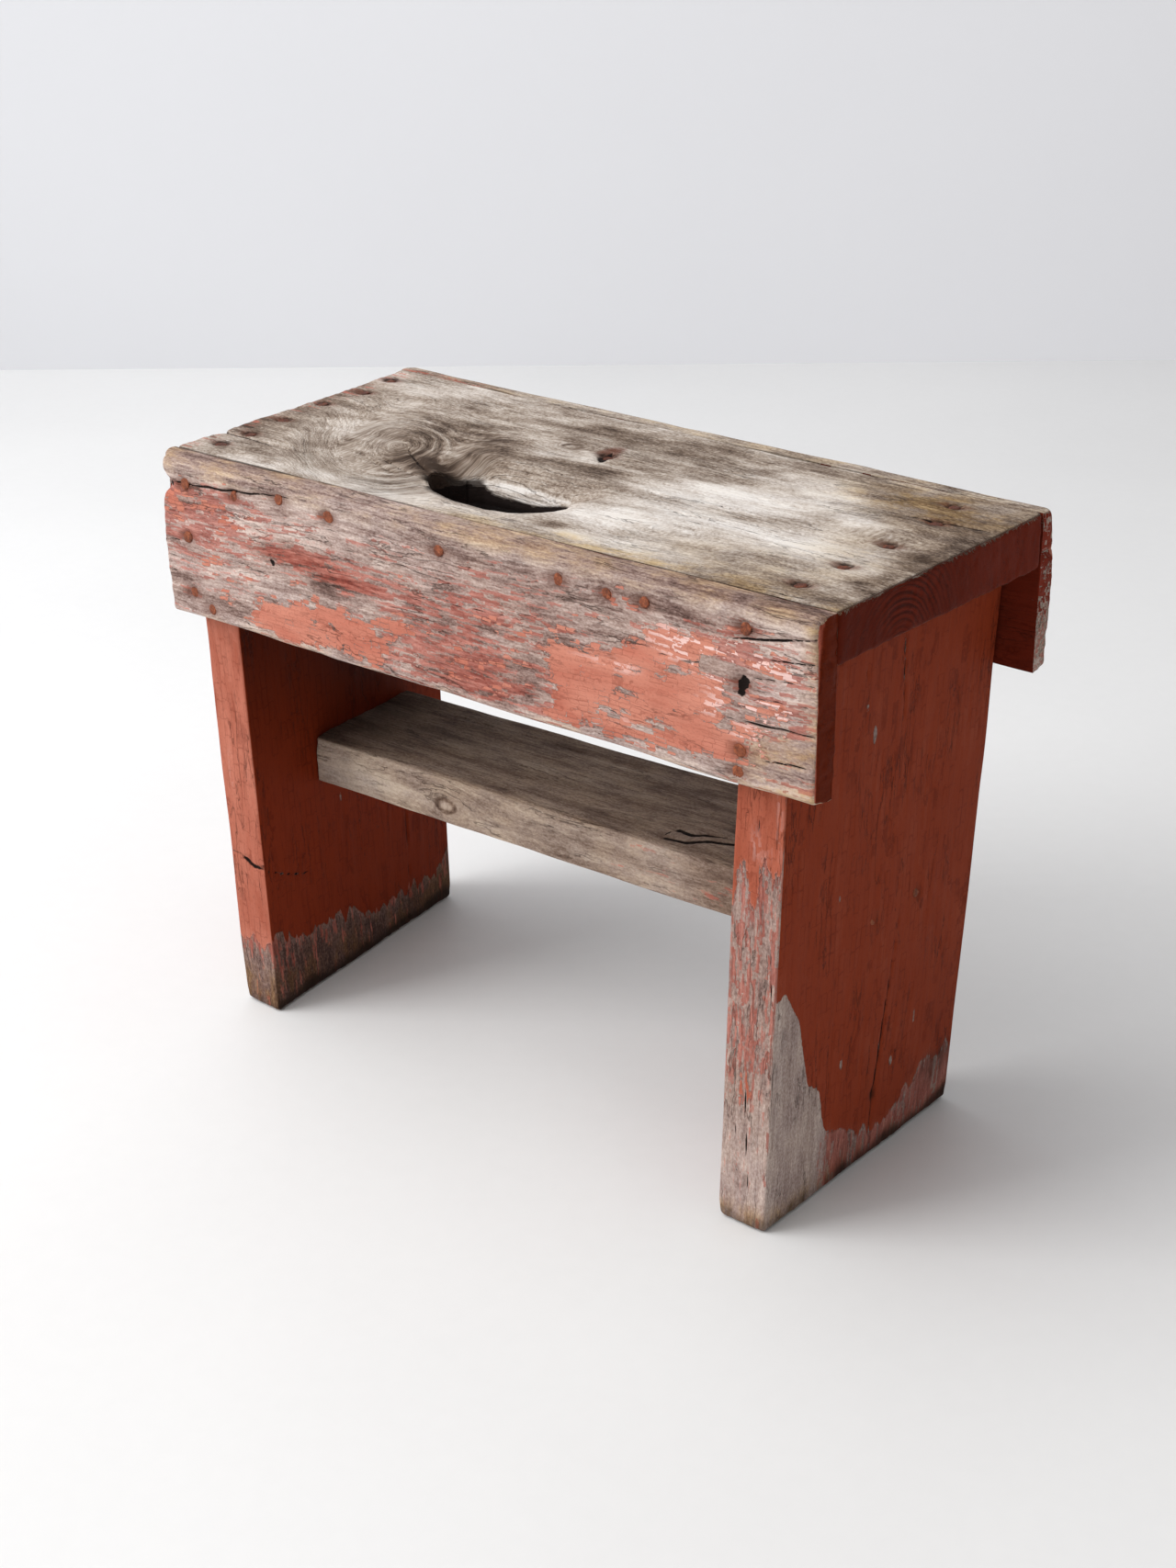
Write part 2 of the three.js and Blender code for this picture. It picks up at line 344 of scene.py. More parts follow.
def nail_spot(node):
    """Middle of a nail's head on the surface, in mm, and the way the head faces."""
    low, high = box_mm(node)
    middle = (low + high) / 2
    if node.startswith("nail_seat"):
        return np.array([middle[0], middle[1], top_z(middle[0], middle[1])]), np.array([0, 0, 1.0])
    if node.startswith("nail_front"):
        return np.array([middle[0], -HALF_DEPTH, middle[2]]), np.array([0, -1.0, 0])
    if node.startswith("nail_rear"):
        return np.array([middle[0], HALF_DEPTH, middle[2]]), np.array([0, 1.0, 0])
    if node.startswith("nail_right_leg"):
        return np.array([high[0] - 0.4, middle[1], middle[2]]), np.array([1.0, 0, 0])
    return np.array([low[0] + 0.4, middle[1], middle[2]]), np.array([-1.0, 0, 0])


SPOTS = {node: nail_spot(node) for node in NAILS}


def nail_fields(points, prefix, grain_axis):
    """Depth of the pits round the nails, the rust that has bled along the grain, and the
    dark ring round each head, which paints the shade in the gap round it."""
    pit = np.zeros(len(points))
    rust = np.zeros(len(points))
    crevice_shade = np.zeros(len(points))
    for spot in [SPOTS[node][0] for node in NAILS if node.startswith(prefix)]:
        d = points - spot
        far = np.linalg.norm(d, axis=1)
        pit = np.maximum(pit, 1 - smooth(4.6, 7.4, far))
        stretch = d.copy()
        stretch[:, grain_axis] *= 0.5
        rust = np.maximum(rust, np.exp(-((np.linalg.norm(stretch, axis=1) / 7.5) ** 2)))
        crevice_shade = np.maximum(crevice_shade, np.exp(-(((far - 5.2) / 1.5) ** 2)))
    return pit, rust, crevice_shade


# ---------------------------------------------------------------- materials
class Graph:
    """Short names for making shader nodes."""

    def __init__(self, name):
        self.material = bpy.data.materials.new(name)
        self.material.use_nodes = True
        self.tree = self.material.node_tree
        self.tree.nodes.clear()

    def node(self, kind, inputs=None, **settings):
        made = self.tree.nodes.new(kind)
        for key, value in settings.items():
            setattr(made, key, value)
        for key, value in (inputs or {}).items():
            self.plug(made.inputs[key], value)
        return made

    def plug(self, socket, value):
        if isinstance(value, bpy.types.NodeSocket):
            self.tree.links.new(value, socket)
        else:
            socket.default_value = value

    def math(self, operation, a, b=0.0, c=0.0, clamp=False):
        made = self.node("ShaderNodeMath", operation=operation, use_clamp=clamp)
        for socket, value in zip(made.inputs, (a, b, c)):
            self.plug(socket, value)
        return made.outputs[0]

    def add(self, *values):
        total = values[0]
        for value in values[1:]:
            total = self.math("ADD", total, value)
        return total

    def mul(self, a, b, clamp=False):
        return self.math("MULTIPLY", a, b, clamp=clamp)

    def sub(self, a, b):
        return self.math("SUBTRACT", a, b)

    def vary(self, noise, amount):
        """A noise of 0..1 as a swing of half the amount either way."""
        return self.mul(self.sub(noise, 0.5), amount)

    def attribute(self, name, vector=False):
        made = self.node("ShaderNodeAttribute", attribute_name=name)
        return made.outputs["Vector" if vector else "Fac"]

    def stretch(self, vector, scale, offset=(0, 0, 0)):
        made = self.node("ShaderNodeMapping", {"Vector": vector, "Scale": scale, "Location": offset})
        return made.outputs[0]

    def noise(self, vector, detail=4.0, rough=0.55, distortion=0.0):
        made = self.node(
            "ShaderNodeTexNoise",
            {"Vector": vector, "Scale": 1.0, "Detail": detail, "Roughness": rough, "Distortion": distortion},
        )
        return made.outputs["Fac"]

    def step(self, value, low, high):
        made = self.node(
            "ShaderNodeMapRange",
            {"Value": value, "From Min": low, "From Max": high},
            interpolation_type="SMOOTHSTEP",
        )
        return made.outputs[0]

    def ramp(self, value, stops):
        made = self.node("ShaderNodeValToRGB", {"Fac": value})
        band = made.color_ramp
        while len(band.elements) < len(stops):
            band.elements.new(0.5)
        for element, (place, colour) in zip(band.elements, stops):
            element.position = place
            element.color = (*colour, 1)
        return made.outputs["Color"]

    def mix(self, share, a, b, blend="MIX"):
        made = self.node("ShaderNodeMix", data_type="RGBA", blend_type=blend)
        self.plug(made.inputs[0], share)
        for socket, value in ((made.inputs[6], a), (made.inputs[7], b)):
            self.plug(socket, (*value, 1) if isinstance(value, tuple) and len(value) == 3 else value)
        return made.outputs[2]

    def tint(self, colour, tint, share=1.0):
        return self.mix(share, colour, tint, "MULTIPLY")

    def cells(self, vector, along, across, edges=False):
        """Random number for each of the small bricks, `along` and `across` of them in a metre,
        and if asked where their edges are."""
        parts = self.node("ShaderNodeSeparateXYZ", {"Vector": self.stretch(vector, (along, across, across))})
        row = self.math("FLOOR", self.add(parts.outputs[1], 0.5))
        layer = self.math("FLOOR", self.add(parts.outputs[2], 0.5))
        key = self.add(row, self.mul(layer, 7.3))
        slide = self.node("ShaderNodeTexWhiteNoise", {"W": key}, noise_dimensions="1D").outputs[0]
        slid = self.add(parts.outputs[0], self.mul(slide, 9.0))
        column = self.math("FLOOR", slid)
        place = self.node("ShaderNodeCombineXYZ", {"X": column, "Y": row, "Z": layer}).outputs[0]
        value = self.node("ShaderNodeTexWhiteNoise", {"Vector": place}, noise_dimensions="3D").outputs[0]
        if not edges:
            return value
        gap_x = self.math("PINGPONG", slid, 0.5)
        gap_y = self.math("PINGPONG", self.add(parts.outputs[1], 0.5), 0.5)
        gap_z = self.math("PINGPONG", self.add(parts.outputs[2], 0.5), 0.5)
        narrow = self.math(
            "MINIMUM", self.mul(gap_x, across / along * 0.8), self.math("MINIMUM", gap_y, gap_z)
        )
        return value, self.sub(1.0, self.step(narrow, 0.03, 0.16))

    def blend(self, share, a, b):
        made = self.node("ShaderNodeMix", data_type="FLOAT")
        for socket, value in zip((made.inputs[0], made.inputs[2], made.inputs[3]), (share, a, b)):
            self.plug(socket, value)
        return made.outputs[0]

    def finish(self, colour, roughness, height, strength, distance, specular=0.3):
        bump = self.node("ShaderNodeBump", {"Height": height, "Strength": strength, "Distance": distance})
        shader = self.node(
            "ShaderNodeBsdfPrincipled",
            {
                "Base Color": colour,
                "Roughness": roughness,
                "Normal": bump.outputs[0],
                "Specular IOR Level": specular,
            },
        )
        output = self.node("ShaderNodeOutputMaterial")
        self.tree.links.new(shader.outputs[0], output.inputs["Surface"])
        return self.material


def srgb(*channels):
    """Linear colour from 0..255 sRGB."""
    return tuple(
        (c / 255 / 12.92) if c / 255 <= 0.04045 else ((c / 255 + 0.055) / 1.055) ** 2.4 for c in channels
    )


FIELDS = ("light", "warm", "dirt", "red", "paint", "crack", "rust", "fade", "knot")


def plank_material(
    name, paint_old, paint_new, wood_stops, seed, streaks=1.0, mottle=1.0, flake=(118, 320), blocky=1.0,
    speckle=0.75, sheltered=(0.010, 0.0025, 0.001),
):
    """Weathered plank under flaking paint. The grain runs along the first axis of the
    vertex attribute `grain`; the other attributes say where things are on the plank."""
    g = Graph(name)
    grain = g.attribute("grain", vector=True)
    light, warm, dirt, red, paint, crack, rust, fade, knot = (g.attribute(field) for field in FIELDS)

    shift = (seed * 0.37, seed * 0.11, seed * 0.23)

    def grained(place, along, across, detail, rough=0.55):
        return g.noise(g.stretch(place, (along, across, across), shift), detail, rough)

    warp = grained(grain, 5, 14, 2.0)
    jog = grained(grain, 170, 260, 2.0)
    bend = g.add(g.vary(warp, 0.022), g.vary(jog, 0.0022))
    jolt = g.vary(jog, 0.006)
    flow_node = g.node("ShaderNodeVectorMath", operation="ADD")
    g.plug(flow_node.inputs[0], grain)
    g.plug(flow_node.inputs[1], g.node("ShaderNodeCombineXYZ", {"X": jolt, "Y": bend, "Z": bend}).outputs[0])
    flow = flow_node.outputs[0]

    fibre = grained(flow, 42, 430, 4.0, 0.66)
    strand = grained(flow, 11, 115, 3.0, 0.6)
    band = grained(flow, 2.4, 30, 2.0, 0.5)
    blotch = grained(grain, 28, 44, 5.0, 0.62)
    speck = grained(grain, 420, 760, 2.0, 0.6)

    # Growth rings crowd together round a knot.
    across = g.node("ShaderNodeSeparateXYZ", {0: flow}).outputs["Y"]
    ring = g.math("SINE", g.add(g.mul(across, 560.0), g.vary(strand, 7.0)))
    ring = g.mul(g.add(ring, g.vary(fibre, 2.5)), knot)

    tone = g.add(
        0.5,
        light,
        g.mul(ring, 0.17),
        g.vary(fibre, 1.25 * streaks),
        g.vary(strand, 0.75 * streaks),
        g.vary(band, 0.45 * streaks),
        g.vary(blotch, 1.0 * mottle),
        g.vary(speck, speckle),
    )
    wood = g.ramp(tone, wood_stops)
    warmth = g.mul(warm, g.step(g.add(blotch, g.mul(strand, 0.3), g.mul(fibre, 0.4)), 0.68, 1.0), clamp=True)
    wood = g.mix(warmth, wood, g.tint(wood, srgb(228, 206, 164)))

    small = g.cells(flow, 80, 520)
    wide = g.cells(flow, 38, 250)
    streak = g.add(red, g.vary(small, 0.5), g.vary(wide, 0.35), g.vary(fibre, 1.6), g.vary(strand, 1.0))
    pigment = g.mul(g.step(streak, 0.46, 0.66), g.step(red, 0.02, 0.12))
    pinks = [(0.32, srgb(120, 52, 42)), (0.5, srgb(160, 80, 66)), (0.68, srgb(196, 122, 106))]
    stain_red = g.ramp(fibre, pinks)
    wood = g.mix(g.mul(pigment, 0.72), wood, stain_red)
    wood = g.mix(g.mul(red, 0.45, clamp=True), wood, g.tint(wood, srgb(238, 200, 192)))

    checks = grained(flow, 15, 150, 3.0, 0.5)
    ridge = g.math("ABSOLUTE", g.sub(checks, 0.5))
    gate = g.step(grained(grain, 16, 40, 3.0), 0.46, 0.62)
    check = g.mul(g.sub(1.0, g.step(ridge, 0.0, 0.022)), gate, clamp=True)
    wood = g.mix(g.mul(check, 0.4 + 0.3 * streaks), wood, srgb(66, 48, 40))

    # Paint flakes off in small blocks along the grain.
    block, seam = g.cells(flow, *flake, edges=True)
    ragged = g.add(
        paint,
        g.vary(block, 0.62 * blocky),
        g.vary(wide, 0.34 * blocky),
        g.vary(strand, 0.95 - 0.6 * blocky),
        g.vary(blotch, 1.2 - 0.7 * blocky),
        g.vary(fibre, 0.6 - 0.4 * blocky),
        g.mul(seam, -0.22 * blocky),
        g.mul(g.step(crack, 0.6, 0.85), -0.6),
    )
    covered = g.step(ragged, 0.485, 0.515)
    # Painted shadow: a dark line on the wood just outside the edge of the paint, as if cast by the flakes.
    outline = g.mul(g.step(ragged, 0.40, 0.485), g.sub(1.0, covered))
    # Painted highlight: a pale rim just inside the edge of the paint, stronger where the paint is bleached.
    rim = g.mul(covered, g.sub(1.0, g.step(ragged, 0.515, 0.58)), clamp=True)
    film = grained(grain, 16, 34, 5.0, 0.62)
    age = g.add(fade, g.vary(film, 0.8), g.vary(wide, 0.16), g.vary(fibre, 0.5))
    coat = g.mix(g.step(age, -0.05, 1.0), paint_old, paint_new)
    # Painted shade: where the fade field is below zero, the coat darkens towards the near-black shaded
    # colour, for faces turned from the lamps.
    coat = g.mix(g.step(g.add(fade, g.mul(ring, 0.24)), 0.0, -1.0), coat, sheltered)
    coat = g.mix(g.mul(seam, g.mul(g.step(block, 0.55, 0.75), 0.35)), coat, g.tint(coat, srgb(150, 110, 100)))
    coat = g.mix(g.step(speck, 0.52, 0.8), coat, g.mix(0.3, coat, (0.02, 0.01, 0.01)))
    coat = g.mix(g.mul(g.step(fibre, 0.5, 0.66), 0.3), coat, g.tint(coat, srgb(200, 165, 155)))
    coat = g.mix(g.mul(check, 0.6), coat, srgb(58, 24, 18))
    # Painted glints: small pale highlights on broken paint where it is most bleached.
    glint = g.mul(g.step(fade, 0.8, 1.1), g.step(g.add(small, g.mul(speck, 0.6)), 0.88, 1.0))
    coat = g.mix(g.mul(glint, 0.8, clamp=True), coat, srgb(240, 208, 202))
    coat = g.mix(g.mul(rim, g.mul(fade, 0.35), clamp=True), coat, srgb(226, 172, 158))
    surface = g.mix(g.mul(outline, 0.45, clamp=True), wood, g.tint(wood, srgb(150, 110, 100)))
    surface = g.mix(covered, surface, coat)

    stain = g.step(g.add(rust, g.vary(strand, 0.6), g.vary(blotch, 0.5)), 0.25, 0.95)
    surface = g.mix(g.mul(stain, 0.75), surface, srgb(96, 48, 32))
    # Dark grime, which also serves as painted shade: in the hand hole, inside the aprons, under the seat and
    # by the legs.
    grime_and_shade = g.step(g.add(dirt, g.vary(blotch, 1.0), g.vary(strand, 0.6)), 0.15, 1.0)
    surface = g.mix(g.mul(grime_and_shade, 0.92), surface, srgb(38, 25, 18))
    # Dark cracks, and painted shade: the hand hole's depths, the deep nail holes, the cavity and the split
    # notch are made as dark as cracks.
    surface = g.mix(g.step(g.add(crack, g.vary(fibre, 0.12)), 0.78, 0.88), surface, srgb(22, 12, 9))

    bare_height = g.add(
        g.mul(ring, 0.5), g.mul(fibre, 0.8), g.mul(strand, 0.5), g.mul(check, -0.6), g.mul(speck, 0.2)
    )
    painted_height = g.add(
        0.95, g.mul(fibre, 0.15), g.mul(strand, 0.25), g.mul(film, 0.15), g.mul(check, -0.3)
    )
    height = g.blend(covered, bare_height, painted_height)
    rough = g.blend(covered, g.add(0.74, g.mul(fibre, 0.25)), g.add(0.42, g.mul(film, 0.35)))
    return g.finish(surface, rough, height, 1.0, 0.0010, g.blend(covered, 0.15, 0.05))


WOOD_SEAT = [
    (0.0, srgb(66, 52, 43)),
    (0.25, srgb(118, 102, 90)),
    (0.46, srgb(160, 147, 136)),
    (0.7, srgb(200, 191, 184)),
    (1.0, srgb(230, 226, 223)),
]
WOOD_APRON = [
    (0.0, srgb(72, 52, 46)),
    (0.28, srgb(124, 101, 94)),
    (0.5, srgb(160, 140, 133)),
    (0.74, srgb(190, 173, 168)),
    (1.0, srgb(222, 210, 206)),
]
WOOD_STRETCHER = [
    (0.0, srgb(70, 52, 44)),
    (0.3, srgb(120, 100, 88)),
    (0.5, srgb(156, 138, 126)),
    (0.75, srgb(192, 177, 166)),
    (1.0, srgb(216, 205, 196)),
]
SALMON = srgb(202, 134, 114)
BRICK = srgb(138, 51, 24)

LEG_PAINT = (0.6, 0.8, (70, 170), 0.25)  # streaks, mottle, and larger flakes with soft edges

mat_seat = plank_material(
    "seat_wood", srgb(116, 38, 18), BRICK, WOOD_SEAT, 1, 0.55, 0.8, speckle=0.8,
    sheltered=(0.035, 0.004, 0.001),
)
mat_front = plank_material(
    "front_paint", srgb(174, 92, 74), SALMON, WOOD_APRON, 2, 1.15, 1.1, sheltered=(0.135, 0.015, 0.002)
)
mat_rear = plank_material(
    "rear_paint", srgb(134, 50, 32), SALMON, WOOD_SEAT, 3, sheltered=(0.05, 0.004, 0.001)
)
mat_leg_left = plank_material("left_leg_paint", BRICK, srgb(186, 114, 94), WOOD_APRON, 4, *LEG_PAINT)
mat_leg_right = plank_material(
    "right_leg_paint", srgb(142, 57, 31), srgb(176, 98, 76), WOOD_APRON, 5, *LEG_PAINT
)
mat_stretcher = plank_material("stretcher_wood", BRICK, SALMON, WOOD_STRETCHER, 6, 0.6, 0.7, speckle=0.45)


def rust_material(name, bright):
    """A rusty nail; the ones on the faces are brighter orange, and the ones in the seat darker, as painted
    shade for the pits they sit in.
    """
    g = Graph(name)
    place = g.node("ShaderNodeTexCoord").outputs["Object"]
    coarse = g.noise(g.stretch(place, (260, 260, 260)), 6.0, 0.7)
    fine = g.noise(g.stretch(place, (1400, 1400, 1400)), 4.0, 0.7)
    browns = [
        (0.3, srgb(44, 24, 18)), (0.5, srgb(98, 50, 32)), (0.64, srgb(146, 78, 48)),
        (0.82, srgb(190, 116, 76)),
    ]
    colour = g.ramp(g.add(g.mul(coarse, 0.75), g.mul(fine, 0.3), bright), browns)
    return g.finish(colour, g.add(0.6, g.mul(fine, 0.3)), g.add(coarse, g.mul(fine, 0.5)), 0.9, 0.0006, 0.35)


mat_rust = rust_material("rusty_nail", 0.06)
# Darker rust for the seat's nails: painted shade for their pits.
mat_rust_dark = rust_material("dark_nail", -0.07)


# ---------------------------------------------------------------- planks, one by one
def plank(name, node, size, cells, radius_at, place, look, material, hole=None):
    """size and cells are along the grain, across it and through the thickness."""
    a, b, c = (ticks(s, cell) for s, cell in zip(size, cells))
    points, quads = lattice_shell(a, b, c)
    if hole is not None:
        points, quads = hole(points, quads, c)
    local = points.copy()
    points = round_edges(points, size, radius_at(local))
    world = place(points)
    if outwardness(world, quads) < 0:
        quads = quads[:, ::-1]
    normal = vertex_normals(world, quads)
    fields, push = look(local, world, normal)
    world = world + normal * push[:, None]
    world[:, 2] = np.maximum(world[:, 2], 0.05)  # the feet stand on the floor
    for key in FIELDS:
        fields.setdefault(key, np.zeros(len(world)))
    bend = fields.pop("bend", np.zeros((len(world), 2)))
    fields["grain"] = np.stack([local[:, 0], local[:, 1] + bend[:, 0], local[:, 2] + bend[:, 1]], 1) * MM
    add_quads(name, world, quads, fields, material, node)


def weathering(local, seed, rough=1.0):
    """Relief of the grain and the slow wear of a plank, in mm."""
    a, b, c = local.T
    relief = 0.32 * noise(a / 60, b / 3.6, c / 3.6, seed) + 0.22 * noise(a / 25, b / 8, c / 8, seed + 1)
    wear = 0.55 * noise(a / 70, b / 38, c / 20, seed + 2)
    return rough * relief + wear - 0.35


# ---------------------------------------------------------------- seat board
SEAT_WIDTH = 2 * (HALF_DEPTH - APRON - GAP)
SEAT_SIZE = (BOARD_LENGTH, SEAT_WIDTH, SEAT_THICK)
HOLE_RIM = [
    (-81, -61), (-74, -68), (-65.7, -75.5), (-54.8, -84), (-27.9, -92), (1.9, -94), (18, -89.5), (30, -79),
    (37, -67), (40, -58), (37, -45.5), (30, -34), (19, -26.8), (-9, -22.6), (-37, -21.8), (-63, -22.5),
    (-76, -29), (-84, -40), (-86, -52),
]
SLANT = 5.0  # how far the wall behind the hole slants in below its lip
NOTCH_Y = -75.0  # where the left end has split
FLARE = 12.0  # how far the wall of the hand hole draws back at the underside


def rim_distance(x, y):
    """Signed distance from the rim of the hand hole, positive outside."""
    return -inside_outline(x, y, HOLE_RIM)


def rim_drop(x, y):
    """How far the worn lip of the hand hole dips below the top."""
    rim = rim_distance(x, y)
    behind = smooth(-48, -30, y)
    corner = blob(x, y, -86, -40, 22, 20)
    end = blob(x, y, 42, -56, 22, 26)
    reach = 6 + 15 * behind + 8 * corner + 14 * end
    depth = 1.0 + 6.5 * behind + 3.0 * corner + 2.5 * end
    return depth * np.clip(1 - rim / reach, 0, 1.2) ** 1.8


def seat_xy(a, b):
    """X and Y of a point of the seat, from its place along the board and across it."""
    y = b - SEAT_WIDTH / 2
    x_left = left_end(y)
    return x_left + (RIGHT_END - x_left) * a / SEAT_SIZE[0], y


def snap_to_rim(points, rim):
    """Moves the rim's vertices onto the outline of the hand hole."""
    points = points.copy()
    step = 0.05
    for _ in range(6):
        x, y = seat_xy(points[rim, 0], points[rim, 1])
        d = rim_distance(x, y)
        slope_x = (rim_distance(x + step, y) - d) / step
        slope_y = (rim_distance(x, y + step) - d) / step
        scale = np.maximum(slope_x * slope_x + slope_y * slope_y, 0.3)
        points[rim, 0] -= d * slope_x / scale
        points[rim, 1] -= d * slope_y / scale
    return points


def away_from_rim(x, y):
    """Unit steps in X and Y that lead away from the hand hole."""
    along_x = rim_distance(x + 0.5, y) - rim_distance(x - 0.5, y)
    along_y = rim_distance(x, y + 0.5) - rim_distance(x, y - 0.5)
    out = np.stack([along_x, along_y], 1)
    return out / np.maximum(np.linalg.norm(out, axis=1, keepdims=True), 0.3)


def cut_hole(points, quads, c):
    """Cuts the hand hole out of the top and bottom sheets and builds its wall."""
    bottom, top = points[:, 2] == c[0], points[:, 2] == c[-1]
    gone = (bottom | top) & (rim_distance(*seat_xy(points[:, 0], points[:, 1])) < 0.9)
    quads = quads[~gone[quads].any(1)]
    # the edges used once are the open rims
    edges = dict.fromkeys((u, v) for i in range(4) for u, v in quads[:, [i, (i + 1) % 4]].tolist())
    after = {u: v for u, v in edges if (v, u) not in edges}
    place = {u: tuple(points[u, :2].round(4)) for u in after}
    below = {place[u]: u for u in after if bottom[u]}
    top_rim = [u for u in after if top[u]]
    points = snap_to_rim(points, list(after))
    # the bottom sheet draws back from the rim, for the wall flares out below
    x, y = seat_xy(points[:, 0], points[:, 1])
    d = rim_distance(x, y)
    out = away_from_rim(x, y)
    back = np.where(bottom & (d < 2 * FLARE) & (d > -0.5), FLARE - d / 2, 0)
    points[:, :2] += out * back[:, None]
    # the wall hangs from the top rim in rows, closer together near its two edges
    rows = np.concatenate([[0.6, 1.6, 3.0, 5.0, 7.5, 10.5], np.linspace(14, 34, 10), [35.4, 36.4]])
    behind = smooth(-52, -34, y)
    new_points = []
    chain = {}
    for u in top_rim:
        first = len(points) + len(new_points)
        chain[u] = [u, *range(first, first + len(rows)), below[place[u]]]
        for depth in rows:
            flare = FLARE * max(0.0, (depth - 19) / 17.4) ** 1.6
            flare -= SLANT * (1 - math.exp(-depth / 6)) * behind[u]
            new_points.append((*(points[u, :2] + out[u] * flare), c[-1] - depth))
    wall = []
    for u in top_rim:
        here, there = chain[u], chain[after[u]]
        wall += [(there[i], here[i], here[i + 1], there[i + 1]) for i in range(len(rows) + 1)]
    points = np.concatenate([points, np.array(new_points)])
    quads = np.concatenate([quads, np.array(wall)])
    used = np.unique(quads)
    renumber = np.full(len(points), -1)
    renumber[used] = np.arange(len(used))
    return points[used], renumber[quads]


def seat_radius(p):
    """The seat's edges are sharp where it meets the aprons and worn round at its ends."""
    return 0.35 + 3.6 * smooth(0.0, 1.0, 1 - np.minimum(p[:, 0], SEAT_SIZE[0] - p[:, 0]) / 9)


def seat_place(p):
    """Where a point of the flat seat board lies."""
    x, y = seat_xy(p[:, 0], p[:, 1])
    share = p[:, 2] / SEAT_SIZE[2]
    low, high = under_z(x, y), top_z(x, y) - rim_drop(x, y)
    z = low + (high - low) * share
    # the left end is notched where it has split
    notch = np.exp(-(((y - NOTCH_Y) / 3.4) ** 2)) * smooth(20, 0, p[:, 0]) * 9.0
    return np.stack([x + notch, y, z], 1)


# worn pale and grey places of the seat: strength, x, y and reach along x and y
SEAT_PALE = [
    (0.46, 95, 22, 66, 36), (0.42, 125, -38, 80, 26), (0.42, 60, -68, 46, 18), (0.34, 218, -34, 50, 30),
    (0.26, 140, 78, 44, 16), (0.22, -70, -106, 130, 9), (0.22, 90, -102, 60, 9), (0.26, -30, 22, 50, 18),
    (0.34, -82, 46, 34, 14), (0.34, -52, 16, 24, 7), (0.16, -225, 98, 60, 26), (0.34, 168, 60, 34, 18),
    (0.24, 150, 10, 28, 10), (0.22, 212, 24, 18, 14), (0.16, 205, 82, 24, 16), (0.24, 142, -104, 52, 14),
    (0.24, 160, -65, 32, 6), (0.24, -240, 14, 16, 7), (0.14, -208, -30, 24, 24), (0.16, -110, -87, 28, 7),
    (0.22, -188, -110, 36, 10), (0.12, -15, -112, 40, 8),
]
SEAT_DARK = [
    (0.06, -215, -50, 60, 60), (0.20, -135, 26, 46, 26), (0.36, -80, 40, 40, 26), (0.34, -26, 10, 56, 13),
    (0.28, 20, 82, 74, 20), (0.20, 100, 105, 70, 10), (0.28, 205, 80, 50, 22), (0.18, 190, -66, 50, 9),
    (0.12, 225, -98, 40, 12), (0.20, 250, 40, 30, 60), (0.22, 150, -8, 44, 8), (0.46, 52, 27, 56, 24),
    (0.26, -112, -42, 26, 26), (0.26, -78, -46, 18, 16), (0.20, -30, 92, 30, 12), (0.20, 95, 52, 36, 12),
    (0.30, 20, -26, 60, 20), (0.36, 150, -44, 44, 11), (0.22, 185, -22, 18, 8), (0.30, 60, -95, 12, 16),
    (0.26, -138, -2, 34, 20), (0.24, -122, -48, 36, 26), (0.26, -76, -4, 28, 11), (0.28, -46, 95, 22, 8),
    (0.20, 136, 76, 24, 8), (0.22, 242, 115, 22, 8), (0.32, 278, -20, 13, 70), (0.14, 240, -98, 26, 14),
    (0.15, -275, -55, 16, 36), (0.16, -260, 10, 30, 120),
]
SEAT_CRACKS = [
    ([(214, 55), (244, 58.8), (268, 61), (291, 62)], 1.5, 1.0),
    ([(-281, -75), (-250, -74), (-205, -77)], 1.3, 0.9),
    ([(-150, -14), (-124, -34), (-104, -47), (-84, -56), (-76, -62)], 1.1, 0.9),
    ([(-150, -48), (-129, -56), (-104, -64), (-80, -71)], 0.8, 0.7),
    ([(-3, 28), (-7, 38), (-11, 49)], 4.2, 1.0),
    ([(-140, -60), (-118, -67), (-96, -76)], 0.7, 0.6),
    ([(60, 66), (110, 64), (150, 67), (190, 63)], 0.8, 0.55),
    ([(150, -20), (190, -14), (224, -17)], 0.8, 0.5),
    ([(-260, 30), (-225, 34), (-190, 32)], 0.8, 0.6),
    ([(100, 4), (126, 0), (142, 3)], 1.1, 0.55),
    ([(88, -22), (112, -28), (130, -25)], 1.3, 0.6),
    ([(60, -2), (84, -8), (100, -6)], 1.2, 0.6),
    ([(120, 30), (150, 27), (176, 30)], 0.9, 0.5),
    ([(20, -18), (44, -14), (62, -18)], 1.0, 0.6),
    ([(225, -108), (252, -111), (276, -108)], 1.4, 0.8),
]
# small knots of the seat: x, y, core and how far the grain runs round them
SEAT_KNOTS = [(-41, 43, 6, 18), (120, -60, 3, 26), (-215, 60, 3, 20), (230, 10, 3, 30)]
BIG_KNOT_X, BIG_KNOT_Y = -145, -26  # left of the hand hole
PITH_Y, PITH_Z = -52, 398  # middle of the growth rings on the seat's ends


